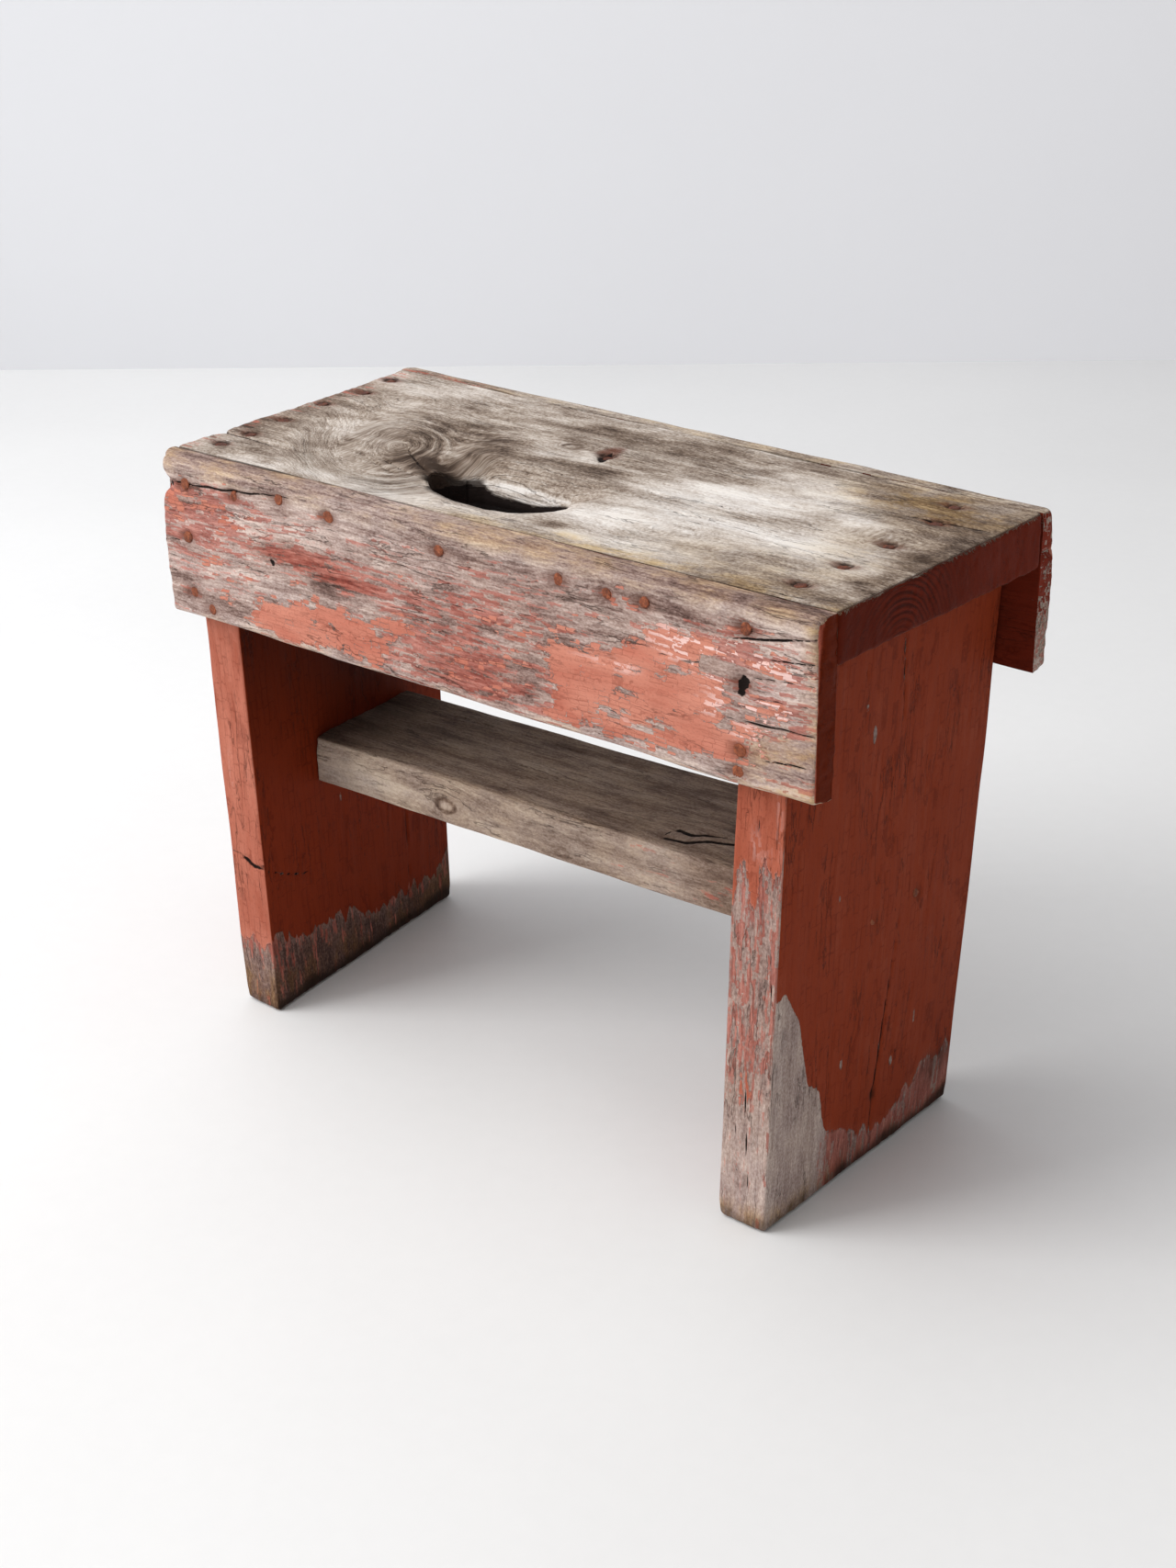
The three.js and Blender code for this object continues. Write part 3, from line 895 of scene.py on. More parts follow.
def seat_look(local, world, normal):
    """Fields and relief of the seat board."""
    x, y, z = world.T
    rim = rim_distance(x, y)
    depth = top_z(x, y) - z
    on_top = smooth(0.2, 0.6, normal[:, 2])
    to_end = np.minimum(local[:, 0], BOARD_LENGTH - local[:, 0])
    on_end = smooth(0.5, 0.9, np.abs(normal[:, 0])) * smooth(9, 2, to_end)
    in_hole = smooth(FLARE + 1.5, FLARE + 0.5, rim) * smooth(0.6, 2.5, depth - rim_drop(x, y))
    far_side = smooth(-45, -30, y)

    # relief: weathered grain, a swirl by the hole, cracks and nail pits
    push = weathering(local, 11, 1.2)
    swirl = np.sin(rim / 1.5 + 0.6 * noise(x / 9, y / 9, 0, 17)) * blob(x, y, -104, -38, 26, 26)
    push = push + on_top * 0.35 * swirl * smooth(0, 3, rim)
    crack = crack_field(x, y, SEAT_CRACKS, 21) * on_top
    push = push - 1.8 * smooth(0.72, 0.95, crack)
    pit, rust, crevice_shade = nail_fields(world, "nail_seat", 0)
    push = push - 1.7 * pit * on_top
    rust = 0.95 * rust * on_top

    # tone of the top
    light = 0.02 + spots(x, y, SEAT_PALE) - spots(x, y, SEAT_DARK)
    light = light - 0.18 * smooth(268, 288, x + 4 * noise(x / 9, y / 9, 0, 30))
    light = light + 0.12 * noise(x / 46, y / 13, 0, 31) + 0.10 * noise(x / 15, y / 6, 0, 32)
    light = light + 0.09 * swirl
    stains = strongest(x, y, [(1.3, -11, 50, 9, 14), (0.6, -172, 112, 22, 3), (0.62, 240, 93, 18, 7)])
    rust = np.maximum(rust, on_top * stains)
    warm = 0.12 + spots(x, y, [(1.6, 235, 85, 60, 30), (0.4, 250, -20, 40, 50), (0.4, 200, -80, 60, 24)])
    ring = np.hypot((x - SEAT_KNOTS[0][0]) / 1.2, y - SEAT_KNOTS[0][1])
    knot = np.exp(-(((ring - 6.5) / 1.3) ** 2)) * 0.5 + 0.12 * np.exp(-((ring / 5) ** 2))
    light = light - 0.5 * knot * on_top

    # the big knot, longer across the board than along it, and turned by about 40 degrees
    knot_x, knot_y = x - BIG_KNOT_X, y - BIG_KNOT_Y
    u, v = 0.77 * knot_x + 0.63 * knot_y, 0.77 * knot_y - 0.63 * knot_x
    r = np.hypot(1.45 * u, 0.85 * v) + 5.0 * noise(x / 26, y / 20, 0, 34)
    near = np.exp(-((r / 82) ** 4))
    rings_bend = near * (r - knot_y)
    knotty = on_top * near * (0.12 + 0.78 * smooth(-10, 20, u - 0.3 * v)) * smooth(4, 16, r)
    light = light + on_top * (0.16 * blob(u, v, -14, -10, 16, 8) - 0.2 * blob(u, v, 12, 4, 12, 24))

    # the worn shelf behind the hole, and the hole's wall, whose far side catches the light
    shelf = on_top * smooth(23, 17, rim) * far_side * smooth(-56, -44, x)
    light = light + shelf * (-0.02 - light) * 0.7
    streaky = 0.3 * noise(x / 14, y / 9, depth / 2.2, 38) + 0.15 * noise(x / 5, y / 5, depth / 1.5, 39)
    wall_light = (0.5 + streaky) * far_side - 0.15 - 0.5 * blob(x, depth, 12, 16, 4, 3)
    light = light * (1 - in_hole) + wall_light * in_hole
    lit = 12.0 + 6.0 * smooth(-70, -45, x) - 6.0 * smooth(-20, 20, x)  # how deep the light gets
    # Painted shade: below the depth the light reaches, the hole's wall darkens and then goes black; its near
    # side and left end are darkened too.
    dirt = in_hole * (1.6 * smooth(lit, lit + 4, depth) + 0.25 * (1 - far_side) + 0.9 * smooth(-56, -68, x))
    # Painted shade: the lip at the hole's left corner and the ring round each nail head are darkened.
    dirt = dirt + 0.75 * blob(x, y, -84, -38, 9, 12) * smooth(14, 2, rim) * on_top + 0.95 * crevice_shade * on_top
    crack = np.maximum(crack, in_hole * smooth(lit, lit + 3, depth + 0.8 * noise(x / 4, y / 4, 0, 37)))

    # the edges by the aprons, and the painted ends with their growth rings
    side = smooth(0.5, 0.9, np.abs(normal[:, 1])) * (1 - in_hole) * smooth(15, 40, rim)
    dirt = dirt + side * 0.7
    seam = smooth(HALF_DEPTH - APRON - 3.0, HALF_DEPTH - APRON - 0.8, np.abs(y)) * on_top
    dirt = dirt + seam * (0.22 + 0.3 * noise(x / 30, y / 30, 0, 33)) * smooth(20, -160, x)
    under = smooth(-0.5, -0.9, normal[:, 2])
    paint = np.where(on_end > 0.3, 1.4 - 0.9 * smooth(6, 0, depth), -1.0)
    # Painted shade: both painted ends get darker paint, more so towards the front.
    fade = 0.05 - (0.48 - 0.22 * smooth(-20, 70, y)) * on_end
    notch = smooth(11, 7, np.abs(y - NOTCH_Y)) * smooth(26, 14, local[:, 0]) * (x < 0)
    # Painted shade: the walls of the split notch are coloured as dark as a crack.
    crack = np.maximum(crack, notch * (1 - on_top) * (1 - on_end))
    ringed = on_end * blob(y, z, -38, 432, 40, 24)
    pith = 2.8 * np.hypot(y - PITH_Y, z - PITH_Z) + 3.0 * noise(y / 20, z / 20, 0, 35)
    along_end = smooth(0.3, 0.7, on_end)
    bend = (knot_bend(x, y, SEAT_KNOTS) + rings_bend) * on_top + (pith - local[:, 1]) * along_end
    return {
        # Painted shade: the underside is darker.
        "light": light - 0.2 * under,
        "warm": warm + 0.8 * smooth(-92, -108, y) * smooth(-80, 60, x),
        "dirt": dirt,
        "paint": paint,
        "red": 0.32 * smooth(-250, -275, x) * on_top,
        "crack": crack,
        "rust": rust,
        "fade": fade,
        "knot": knotty + 1.1 * ringed,
        "bend": np.stack([bend, 0 * x], 1),
    }, push


plank(
    "seat_plank", "seat_board", SEAT_SIZE, (3.4, 1.5, 3.2), seat_radius, seat_place, seat_look,
    mat_seat, cut_hole,
)


# ---------------------------------------------------------------- aprons
def apron_parts(side, under):
    """Length, width and thickness of an apron are taken along X, Z and Y."""
    size = (BOARD_LENGTH, APRON_WIDTH, APRON)

    def radius_at(p):
        outer = smooth(0.3, 0.8, p[:, 2] / APRON)
        high = smooth(0.55, 0.95, p[:, 1] / size[1])
        low = smooth(0.4, 0.05, p[:, 1] / size[1])
        return 0.35 + outer * (6.8 * high + 3.1 * low + 1.4)

    def place(p):
        out = side * (HALF_DEPTH - APRON + p[:, 2])
        x_left = left_end(out)
        x = x_left + (RIGHT_END - x_left) * p[:, 0] / size[0]
        low = under(x)
        z = low + (top_z(x, out) - low) * p[:, 1] / size[1]
        return np.stack([x, out, z], 1)

    return size, radius_at, place


FRONT_CRACKS = [
    ([(-284, 427), (-255, 428), (-210, 431), (-165, 435), (-125, 438)], 0.79, 0.95),
    ([(226, 419), (255, 424), (292, 431)], 0.86, 0.9),
    ([(250, 411), (272, 414), (292, 417)], 0.65, 0.8),
    ([(233, 397), (262, 401), (292, 403)], 0.58, 0.7),
    ([(226, 370), (258, 371), (292, 373)], 0.79, 0.9),
    ([(240, 386), (268, 388), (292, 390)], 0.58, 0.6),
    ([(250, 349), (272, 351), (292, 351)], 0.72, 0.8),
    ([(-26, 391), (30, 394), (94, 396)], 0.58, 0.45),
    ([(1, 422), (50, 420), (94, 424)], 0.58, 0.5),
    ([(-110, 412), (-60, 409), (0, 412)], 0.5, 0.5),
    ([(170, 399), (195, 397), (215, 402)], 0.58, 0.6),
    ([(-279, 384), (-262, 385)], 0.72, 0.7),
    ([(-279, 372), (-258, 371)], 0.72, 0.7),
    ([(-279, 360), (-266, 361)], 0.72, 0.6),
]
# where the two large remains of paint are on the front apron, in X and Z
PATCH_LEFT = [
    (-186, 350), (-170, 358), (-122, 369), (-84, 368), (-14, 376), (-36, 362), (-62, 348), (-58, 336),
    (-165, 335), (-188, 341),
]
PATCH_RIGHT = [
    (86, 385), (94, 393), (122, 390), (152, 400), (180, 418), (223, 415), (208, 398), (233, 395), (226, 366),
    (262, 374), (234, 344), (165, 336), (90, 336), (92, 365),
]

# remains of paint round them, and bare holes in them: strength, x, z and reach
FRONT_FLECKS = [
    (0.85, 147, 424, 16, 6), (1.35, 258, 406, 24, 15), (1.35, 256, 382, 24, 13), (1.3, -264, 411, 20, 12),
    (1.3, -238, 418, 16, 7), (1.15, -213, 411, 18, 10), (0.85, -143, 380, 9, 5), (0.62, -184, 373, 10, 5),
    (0.8, 97, 399, 12, 5), (0.75, 126, 407, 18, 5), (0.85, 10, 352, 26, 9), (0.85, 50, 362, 30, 9),
    (0.66, 40, 340, 40, 7), (0.8, 10, 363, 13, 5), (0.5, -252, 412, 22, 10), (0.62, -205, 428, 8, 8),
    (0.6, -110, 432, 10, 6), (0.55, -225, 380, 20, 22), (0.6, 60, 385, 34, 10), (0.5, -215, 352, 28, 10),
    (0.55, 245, 352, 30, 9),
]
FRONT_HOLES = [
    (1, -124, 365, 4, 3), (1, -123, 352, 5, 5), (1, -72, 368, 10, 4), (1, -60, 359, 10, 3),
    (1, 192, 392, 10, 4), (1, 153, 367, 8, 3), (1, 140, 352, 14, 4), (1, 165, 347, 14, 3),
    (1, 222, 362, 9, 4), (1, 236, 393, 14, 8), (1, 228, 375, 10, 3), (1, 180, 352, 10, 3),
]
# where the bare wood of the front apron is stained pink, and where it is paler or darker
FRONT_RED = [
    (0.50, -245, 412, 56, 16), (0.22, -245, 385, 50, 30), (0.68, 25, 352, 70, 22), (0.36, -10, 388, 80, 10),
    (0.28, 245, 395, 50, 40), (0.25, 70, 402, 60, 16), (0.22, -205, 428, 60, 8),
]
FRONT_SHADES = [
    (0.16, -215, 406, 60, 16), (0.14, -60, 390, 50, 10), (0.16, 265, 395, 30, 50), (-0.12, 60, 425, 110, 14),
    (-0.16, 200, 428, 50, 8),
]
# where its paint is more or less bleached; the strong spot at the right end also brings out painted glints
FRONT_FADE_AND_GLINT = [
    (0.75, 252, 397, 36, 34), (0.22, 200, 408, 40, 14), (0.12, 150, 375, 80, 34), (-0.3, 25, 350, 55, 16),
]


def front_look(local, world, normal):
    """Fields and relief of the front apron."""
    x, y, z = world.T
    front = facing(normal, "-y")
    top = facing(normal, "+z", 0.3, 0.8)
    below = facing(normal, "-z", 0.3, 0.8)
    right = facing(normal, "+x", 0.5, 0.9)
    left = facing(normal, "-x", 0.5, 0.9)
    inner = facing(normal, "+y", 0.4, 0.9)

    # relief: weathered grain, cracks, ragged ends, nail pits and two deeper holes
    push = weathering(local, 41, 1.25)
    crack = crack_field(x, z, FRONT_CRACKS, 43) * np.maximum(front, left)
    push = push - 1.6 * smooth(0.72, 0.95, crack)
    # the left end: a splinter gone by the nail, and a step below it
    ragged = noise(x / 6, z / 3, y / 8, 44)
    near_left = smooth(16, 2, x - left_end(y))
    splinter = near_left * blob(z, y, 425, -136, 6.0, 9) * (7.5 + 2 * ragged)
    push = push - splinter * (front + left)
    steps = 1.6 * smooth(398, 404, z) + 0.8 * smooth(352, 344, z)
    push = push - left * (steps + 0.9 * ragged * smooth(330, 440, z))
    push = push - 0.8 * right * np.abs(noise(z / 5, y / 9, 0, 45))
    pit, rust, crevice_shade = nail_fields(world, "nail_front", 0)
    deep = np.maximum(blob(x, z, 238.5, 393, 5.5, 8), blob(x, z, -163, 388, 4, 3))
    push = push - front * (1.1 * pit + 1.6 * deep)
    # Painted shade: the two deeper holes, and the cavity by the left end, are coloured as dark as cracks.
    ragged_deep = 1.5 * deep + 0.8 * noise(x / 4, z / 3, 0, 46) * deep**0.5
    crack = np.maximum(crack, front * np.clip(ragged_deep, 0, 1))
    cavity = front * blob(x, z, -271, 425.5, 9, 3.4) * (1 + 0.5 * ragged)
    crack = np.maximum(crack, np.clip(1.5 * cavity, 0, 1))
    push = push - 1.5 * cavity

    # paint on the front in two patches with flecks round them, and on the ends and the inside
    jag = x + 9 * noise(x / 18, z / 3.4, 0, 50)
    patch = np.maximum(inside_outline(jag, z, PATCH_LEFT) + 1.5, inside_outline(jag, z, PATCH_RIGHT))
    flecks = strongest(x, z, FRONT_FLECKS)
    holes = strongest(x, z, FRONT_HOLES)
    purple = np.maximum(blob(x, z, -132, 395, 48, 9), 0.8 * blob(x, z, -96, 388, 44, 8))
    paint = np.clip(0.48 + patch / 13, 0.06, 1.0) + 0.5 * flecks - 0.75 * holes - 0.3 * purple
    paint = paint - 0.6 * smooth(436, 446, z) - 0.35 * smooth(336, 329, z) - 0.3 * smooth(262, 288, x)
    paint = paint * front - 0.6 * top
    paint = np.where(right > 0.4, 1.25, paint)
    paint = np.where(inner > 0.5, 1.2, paint)
    paint = np.where(left > 0.6, 0.42 + 0.2 * smooth(395, 410, z), paint)
    paint = np.where(below > 0.6, 0.1, paint)

    # stains and tone of the bare wood, painted shade on the inside and the ends, and how bleached the paint
    # is
    red = front * (0.24 + spots(x, z, FRONT_RED) + 0.56 * purple) * smooth(438, 424, z)
    light = 0.10 + front * (spots(x, z, FRONT_SHADES) + 0.20 * smooth(342, 330, z) - 0.42 * purple)
    light = light + 0.06 * smooth(434, 446, z) * smooth(60, -80, x) + 0.08 * noise(x / 40, z / 7, y / 7, 47)
    light = light - (0.10 + 0.10 * smooth(60, 200, x)) * top
    warm = 0.2 + 0.62 * smooth(430, 442, z) + 0.8 * front * blob(x, z, 268, 350, 30, 26) + 0.5 * right
    warm = warm + 0.6 * front * smooth(276, 290, x) + 0.4 * smooth(338, 329, z)
    dirt = 0.35 * smooth(0.2, 1.0, noise(x / 24, z / 10, y / 10, 48)) * top
    # Painted shade: the inner face, under the seat, and a little the right end are darkened, and so is the
    # ring round each nail.
    dirt = dirt + 0.5 * inner + 0.4 * crevice_shade * front
    seam = smooth(-HALF_DEPTH + APRON - 3.2, -HALF_DEPTH + APRON - 0.8, y) * top
    dirt = dirt + 0.45 * seam * (0.15 + smooth(40, -120, x)) + 0.08 * right
    fade = 0.66 + 0.25 * noise(x / 30, z / 12, 0, 49) + spots(x, z, FRONT_FADE_AND_GLINT) - 0.6 * purple
    # Painted shade: the faces other than the front get the dark shaded paint.
    fade = fade * front + (1 - front) * -0.95
    return {
        "light": light, "warm": warm, "dirt": dirt, "paint": paint, "red": red,
        "crack": crack, "rust": 0.8 * rust * front, "fade": fade,
    }, push


size, radius_at, place = apron_parts(-1, lambda x: FRONT_APRON_LOW + 0 * x)
plank(
    "front_apron_plank", "apron_front", size, (3.0, 1.25, 2.0), radius_at, place, front_look, mat_front,
)

REAR_CRACKS = [
    ([(-290, 402), (-240, 405), (-190, 403)], 1.2, 0.9),
    ([(292, 418), (262, 416), (220, 419)], 1.1, 0.8),
    ([(-120, 380), (-40, 377), (30, 381)], 0.8, 0.6),
    ([(292, 366), (240, 368)], 1.0, 0.8),
]


def rear_look(local, world, normal):
    """Fields and relief of the rear apron."""
    x, y, z = world.T
    back = facing(normal, "+y")
    top = facing(normal, "+z", 0.3, 0.8)
    inner = facing(normal, "-y", 0.4, 0.9)
    right = facing(normal, "+x", 0.5, 0.9)
    push = weathering(local, 61, 1.2)
    crack = crack_field(x, z, REAR_CRACKS, 63) * np.maximum(back, right)
    push = push - 1.5 * smooth(0.72, 0.95, crack)
    ragged = noise(z / 6, y / 8, 0, 64)
    push = push - right * (2.4 * smooth(412, 416, z) * smooth(422, 416, z) + 0.8 * np.abs(ragged))
    pit, rust, _ = nail_fields(world, "nail_rear", 0)
    push = push - 1.1 * pit * back
    paint = 0.52 + 0.4 * noise(x / 80, z / 22, 0, 65) - 0.5 * smooth(432, 450, z)
    paint = paint + 0.3 * blob(x, z, 40, 390, 180, 30) - 0.3 * smooth(352, 338, z)
    paint = np.where(back > 0.3, paint, -0.5)
    paint = np.where(inner > 0.4, 1.2 - 0.5 * blob(x, z, -20, 430, 200, 20), paint)
    paint = np.where(right > 0.4, 0.75 - 0.8 * smooth(395, 360, z), paint)
    paint = np.where(top > 0.3, -0.4, paint) - 0.8 * smooth(444, 452, z)
    light = 0.08 + 0.1 * noise(x / 50, z / 9, y / 9, 66) - 0.06 * top
    pink = top * blob(x, y, -240, 120, 55, 6)
    warm = 0.25 + 0.4 * smooth(430, 445, z)
    # Painted shade: the inner face is darker.
    dirt = 0.25 * inner + 0.2 * top * smooth(0.1, 0.9, noise(x / 20, y / 5, 0, 67))
    seam = smooth(HALF_DEPTH - APRON + 3.0, HALF_DEPTH - APRON + 0.8, y) * top * smooth(0, -200, x)
    red = 0.35 * back * smooth(450, 436, z) + 0.8 * pink + 0.5 * right
    # Painted shade: the faces other than the back get darker paint, the right end less so.
    fade = np.where(right > 0.4, -0.1, -0.45)
    fade = np.where(back > 0.3, 0.5 + 0.3 * noise(x / 40, z / 14, 0, 68), fade)
    return {
        "light": light, "warm": warm, "dirt": dirt + 0.5 * seam, "paint": paint, "red": red, "crack": crack,
        "rust": 0.8 * rust * back, "fade": fade,
    }, push


size, radius_at, place = apron_parts(1, lambda x: REAR_APRON_LOW - REAR_APRON_FALL * (x - MIDDLE_X))
plank(
    "rear_apron_plank", "apron_rear", size, (3.2, 1.4, 2.0), radius_at, place, rear_look, mat_rear,
)


# ---------------------------------------------------------------- legs
def leg_parts(middle, foot, head):
    """Grain runs up the leg: a is height, b is depth from the front edge, c is across."""
    size = (LEG_LENGTH, head[1] - head[0], PLANK)

    def radius_at(p):
        low = smooth(14, 0, p[:, 0])
        return 2.0 + 2.2 * low

    def place(p):
        up = p[:, 0] / size[0]
        front = foot[0] + (head[0] - foot[0]) * up
        rear = foot[1] + (head[1] - foot[1]) * up
        y = front + (rear - front) * p[:, 1] / size[1]
        x = middle(y, up * size[0]) + p[:, 2] - PLANK / 2
        z = up * (under_z(x, y) - GAP)
        return np.stack([x, y, z], 1)

    return size, radius_at, place


def leg_common(local, world, seed):
    """Position, relief and dirt of the foot, for either leg."""
    x, y, z = world.T
    push = weathering(local, seed, 0.8)
    low = smooth(16, 2, z)
    push = push - low * 0.6 * np.abs(noise(x / 9, y / 9, z / 9, seed + 3))
    foot_dirt = smooth(16, 3, z + 3 * noise(x / 12, y / 12, 0, seed + 4))
    return x, y, z, push, foot_dirt


RIGHT_OUTER_CRACKS = [
    ([(0, 405), (4, 368), (8, 330)], 0.9, 0.7),
    ([(22, 184), (14, 110), (9, 55), (7, 2)], 1.0, 0.95),
    ([(-40, 400), (-38, 370)], 0.7, 0.4),
]
RIGHT_FRONT_CRACKS = [
    ([(231, 170), (228, 120), (230, 60), (232, 10)], 0.9, 0.8),
    ([(246, 230), (248, 180), (246, 120)], 0.8, 0.6),
    ([(222, 150), (220, 100), (222, 40)], 0.7, 0.6),
    ([(236, 320), (238, 260)], 0.6, 0.5),
]


# upper edges, in Y and Z, of the bare patch on the near side and of the worn foot
RIGHT_BARE_EDGE = [
    (-115, 178), (-104, 182), (-98, 172), (-86, 152), (-80, 128), (-72, 98), (-58, 88), (-50, 56), (-42, 42),
    (-30, 36),
]
RIGHT_FOOT_EDGE = [(-60, 52), (-30, 44), (5, 26), (26, 24), (48, 38), (65, 46), (105, 54)]
RIGHT_OUTER_CHIPS = [
    (1, -36, 354, 2.5, 6), (1, -25, 332, 3, 9), (1, 96, 300, 2, 4), (1, 52, 91, 3, 13),
    (1, -34, 95, 2.5, 7), (1, 27, 69, 2.5, 6), (1, -50, 226, 2, 4),
]


def right_leg_look(local, world, normal):
    """Fields and relief of the right leg."""
    x, y, z, push, foot_dirt = leg_common(local, world, 71)
    outer = facing(normal, "+x")
    inner = facing(normal, "-x")
    near = facing(normal, "-y")
    rear = facing(normal, "+y")
    crack = crack_field(y, z, RIGHT_OUTER_CRACKS, 74) * outer
    crack = np.maximum(crack, crack_field(x, z, RIGHT_FRONT_CRACKS, 75) * near)
    knot = blob(y, z, 8, 50, 4, 7) * outer
    push = push - 1.4 * smooth(0.72, 0.95, crack) - 1.2 * knot
    pit, rust, _ = nail_fields(world, "nail_right_leg", 2)
    push = push - 0.7 * pit * outer
    bare = smooth(-6, 6, np.interp(y, *zip(*RIGHT_BARE_EDGE)) - z) * smooth(-34, -50, y)
    band = np.interp(y, *zip(*RIGHT_FOOT_EDGE))
    worn = smooth(9, -9, z - band + 9 * noise(y / 7, z / 30, 0, 73)) * smooth(-60, -40, y)
    chips = strongest(y, z, RIGHT_OUTER_CHIPS)
    paint_outer = 1.25 - 1.25 * bare - 1.0 * worn - 1.0 * chips
    fall = smooth(300, 205, z + 24 * noise(x / 9, z / 36, 0, 76) - 60 * smooth(238, 252, x - 0.04 * z))
    remains = np.maximum(blob(x, z, 228, 108, 7, 26), 0.8 * blob(x, z, 243, 182, 6, 22))
    paint_near = 1.1 - 1.12 * fall + 0.62 * remains - 0.3 * smooth(60, 20, z)
    paint = np.where(outer > 0.35, paint_outer, 1.1 - 0.8 * smooth(60, 20, z))
    paint = np.where(near > 0.35, paint_near, paint)
    corner = near * outer * 4
    paint = paint - 0.5 * smooth(0.1, 0.8, corner) * smooth(330, 250, z)
    light = 0.02 + 0.12 * near * smooth(120, 40, z) + 0.10 * bare * outer
    light = light + 0.05 * noise(x / 8, y / 8, z / 60, 77)
    red = near * (0.22 + 0.25 * smooth(60, 160, z)) + 0.75 * worn * outer + 0.3 * inner
    # The near face's paint is pale salmon: partly real bleaching, partly painted light on the face the lamp
    # falls on.
    fade = near * (0.72 + 0.2 * noise(x / 9, z / 40, 0, 79))
    fade = fade + (1 - near) * (0.06 + 0.1 * noise(x / 40, y / 30, z / 60, 78)) + 0.25 * worn * outer
    # Painted shade: the top of the inner face, under the seat, is darkened; the back face is darker too.
    dirt = 0.6 * foot_dirt + 0.8 * knot + 0.3 * rear + 0.25 * inner * smooth(300, 400, z)
    dirt = dirt + 0.30 * blob(y, z, 92, 45, 22, 14) * outer + 0.30 * worn * outer * smooth(-40, -20, y)
    warm = 0.25 + 0.8 * smooth(24, 6, z)
    return {
        "light": light, "warm": warm, "dirt": dirt, "paint": paint, "red": red, "crack": crack,
        "rust": 0.5 * rust * outer, "fade": fade,
    }, push


size, radius_at, place = leg_parts(right_leg, (-111.5, 107.0), (-115.2, 113.5))
plank(
    "right_leg_plank", "leg_right", size, (3.6, 1.7, 2.4), radius_at, place, right_leg_look, mat_leg_right,
)

LEFT_FRONT_CRACKS = [([(-276, 131), (-251, 129), (-238, 124), (-222, 126), (-214, 125)], 2.0, 1.0)]
LEFT_INNER_CRACKS = [
    ([(-118, 126), (-95, 113), (-71, 103), (-46, 99)], 0.9, 0.9),
    ([(60, 120), (62, 60), (58, 5)], 0.8, 0.6),
]
LEFT_FOOT_EDGE = [(-110, 62), (-66, 56), (-10, 42), (38, 34), (63, 32), (89, 34), (114, 44)]


def left_leg_look(local, world, normal):
    """Fields and relief of the left leg."""
    x, y, z, push, foot_dirt = leg_common(local, world, 81)
    inner = facing(normal, "+x")
    outer = facing(normal, "-x")
    near = facing(normal, "-y")
    rear = facing(normal, "+y")
    crack = crack_field(x, z, LEFT_FRONT_CRACKS, 84) * near
    crack = np.maximum(crack, crack_field(y, z, LEFT_INNER_CRACKS, 85) * inner)
    push = push - 1.5 * smooth(0.72, 0.95, crack)
    pit, rust, _ = nail_fields(world, "nail_left_leg", 2)
    push = push - 0.7 * pit * outer
    ragged = 9 * noise(y / 6, x / 6, z / 50, 86) + 5 * noise(y / 2.2, x / 2.2, z / 30, 82)
    band = np.interp(y, *zip(*LEFT_FOOT_EDGE)) * (1 - near) + near * 50
    worn = smooth(11, -11, z + ragged - band)
    pinkish = near * smooth(95, 50, z + ragged)
    chips = strongest(x, z, [(1, -268, 160, 3, 10), (1, -268, 200, 2.5, 14), (1, -224, 140, 3, 10)]) * near
    chips = np.maximum(chips, blob(y, z, -20, 150, 3, 7) * inner)
    corner_chips = near * smooth(-279, -285, x + 0.009 * z + 14)
    corner_chips = corner_chips * smooth(0.1, 0.5, noise(0, 0, z / 9, 83))
    paint = 1.2 - 1.3 * worn - 0.9 * chips - 0.5 * pinkish - 0.8 * corner_chips
    paint = np.where(outer > 0.4, 0.9 + 0.45 * noise(y / 40, z / 90, 0, 87) - 0.9 * worn, paint)
    light = -0.06 + 0.05 * noise(x / 8, y / 8, z / 60, 88) - 0.1 * worn * near - 0.26 * inner * worn
    red = 0.22 + 0.5 * pinkish * smooth(40, 60, z) + 0.2 * inner * smooth(14, 40, z)
    # The near face's paint is pale salmon: partly real bleaching, partly painted light on the face the lamp
    # falls on.
    fade = near * (0.72 + 0.2 * noise(x / 9, z / 50, 0, 89))
    # Painted shade: the paint on the other faces is darker, on the inner face most of all, under the seat and
    # above the stretcher.
    fade = fade - (1 - near) * (0.12 + 0.5 * inner * smooth(90, 380, z))
    fade = fade - 0.5 * inner * blob(y, z, 40, 300, 60, 70) - 0.16 * inner * smooth(200, 60, z)
    dirt = 0.4 * foot_dirt + 0.35 * inner * foot_dirt + 0.14 * worn * near + 0.30 * inner * worn + 0.3 * rear
    warm = 0.35 + 1.0 * smooth(50, 10, z)
    return {
        "light": light, "warm": warm, "dirt": dirt, "paint": paint, "red": red, "crack": crack,
        "rust": 0.5 * rust * outer, "fade": fade,
    }, push


size, radius_at, place = leg_parts(left_leg, (-112.5, 118.0), (-114.6, 114.6))
plank(
    "left_leg_plank", "leg_left", size, (3.6, 1.7, 2.4), radius_at, place, left_leg_look, mat_leg_left,
)


# ---------------------------------------------------------------- stretcher
STRETCHER_SIZE = (466.0, STRETCHER_REAR - STRETCHER_FRONT, PLANK)


def stretcher_radius(p):
    near_top = smooth(12, 4, p[:, 1]) * smooth(24, 32, p[:, 2])
    return 1.8 + 2.8 * near_top + 0.8 * noise(p[:, 0] / 60, p[:, 1] / 60, p[:, 2] / 60, 90)


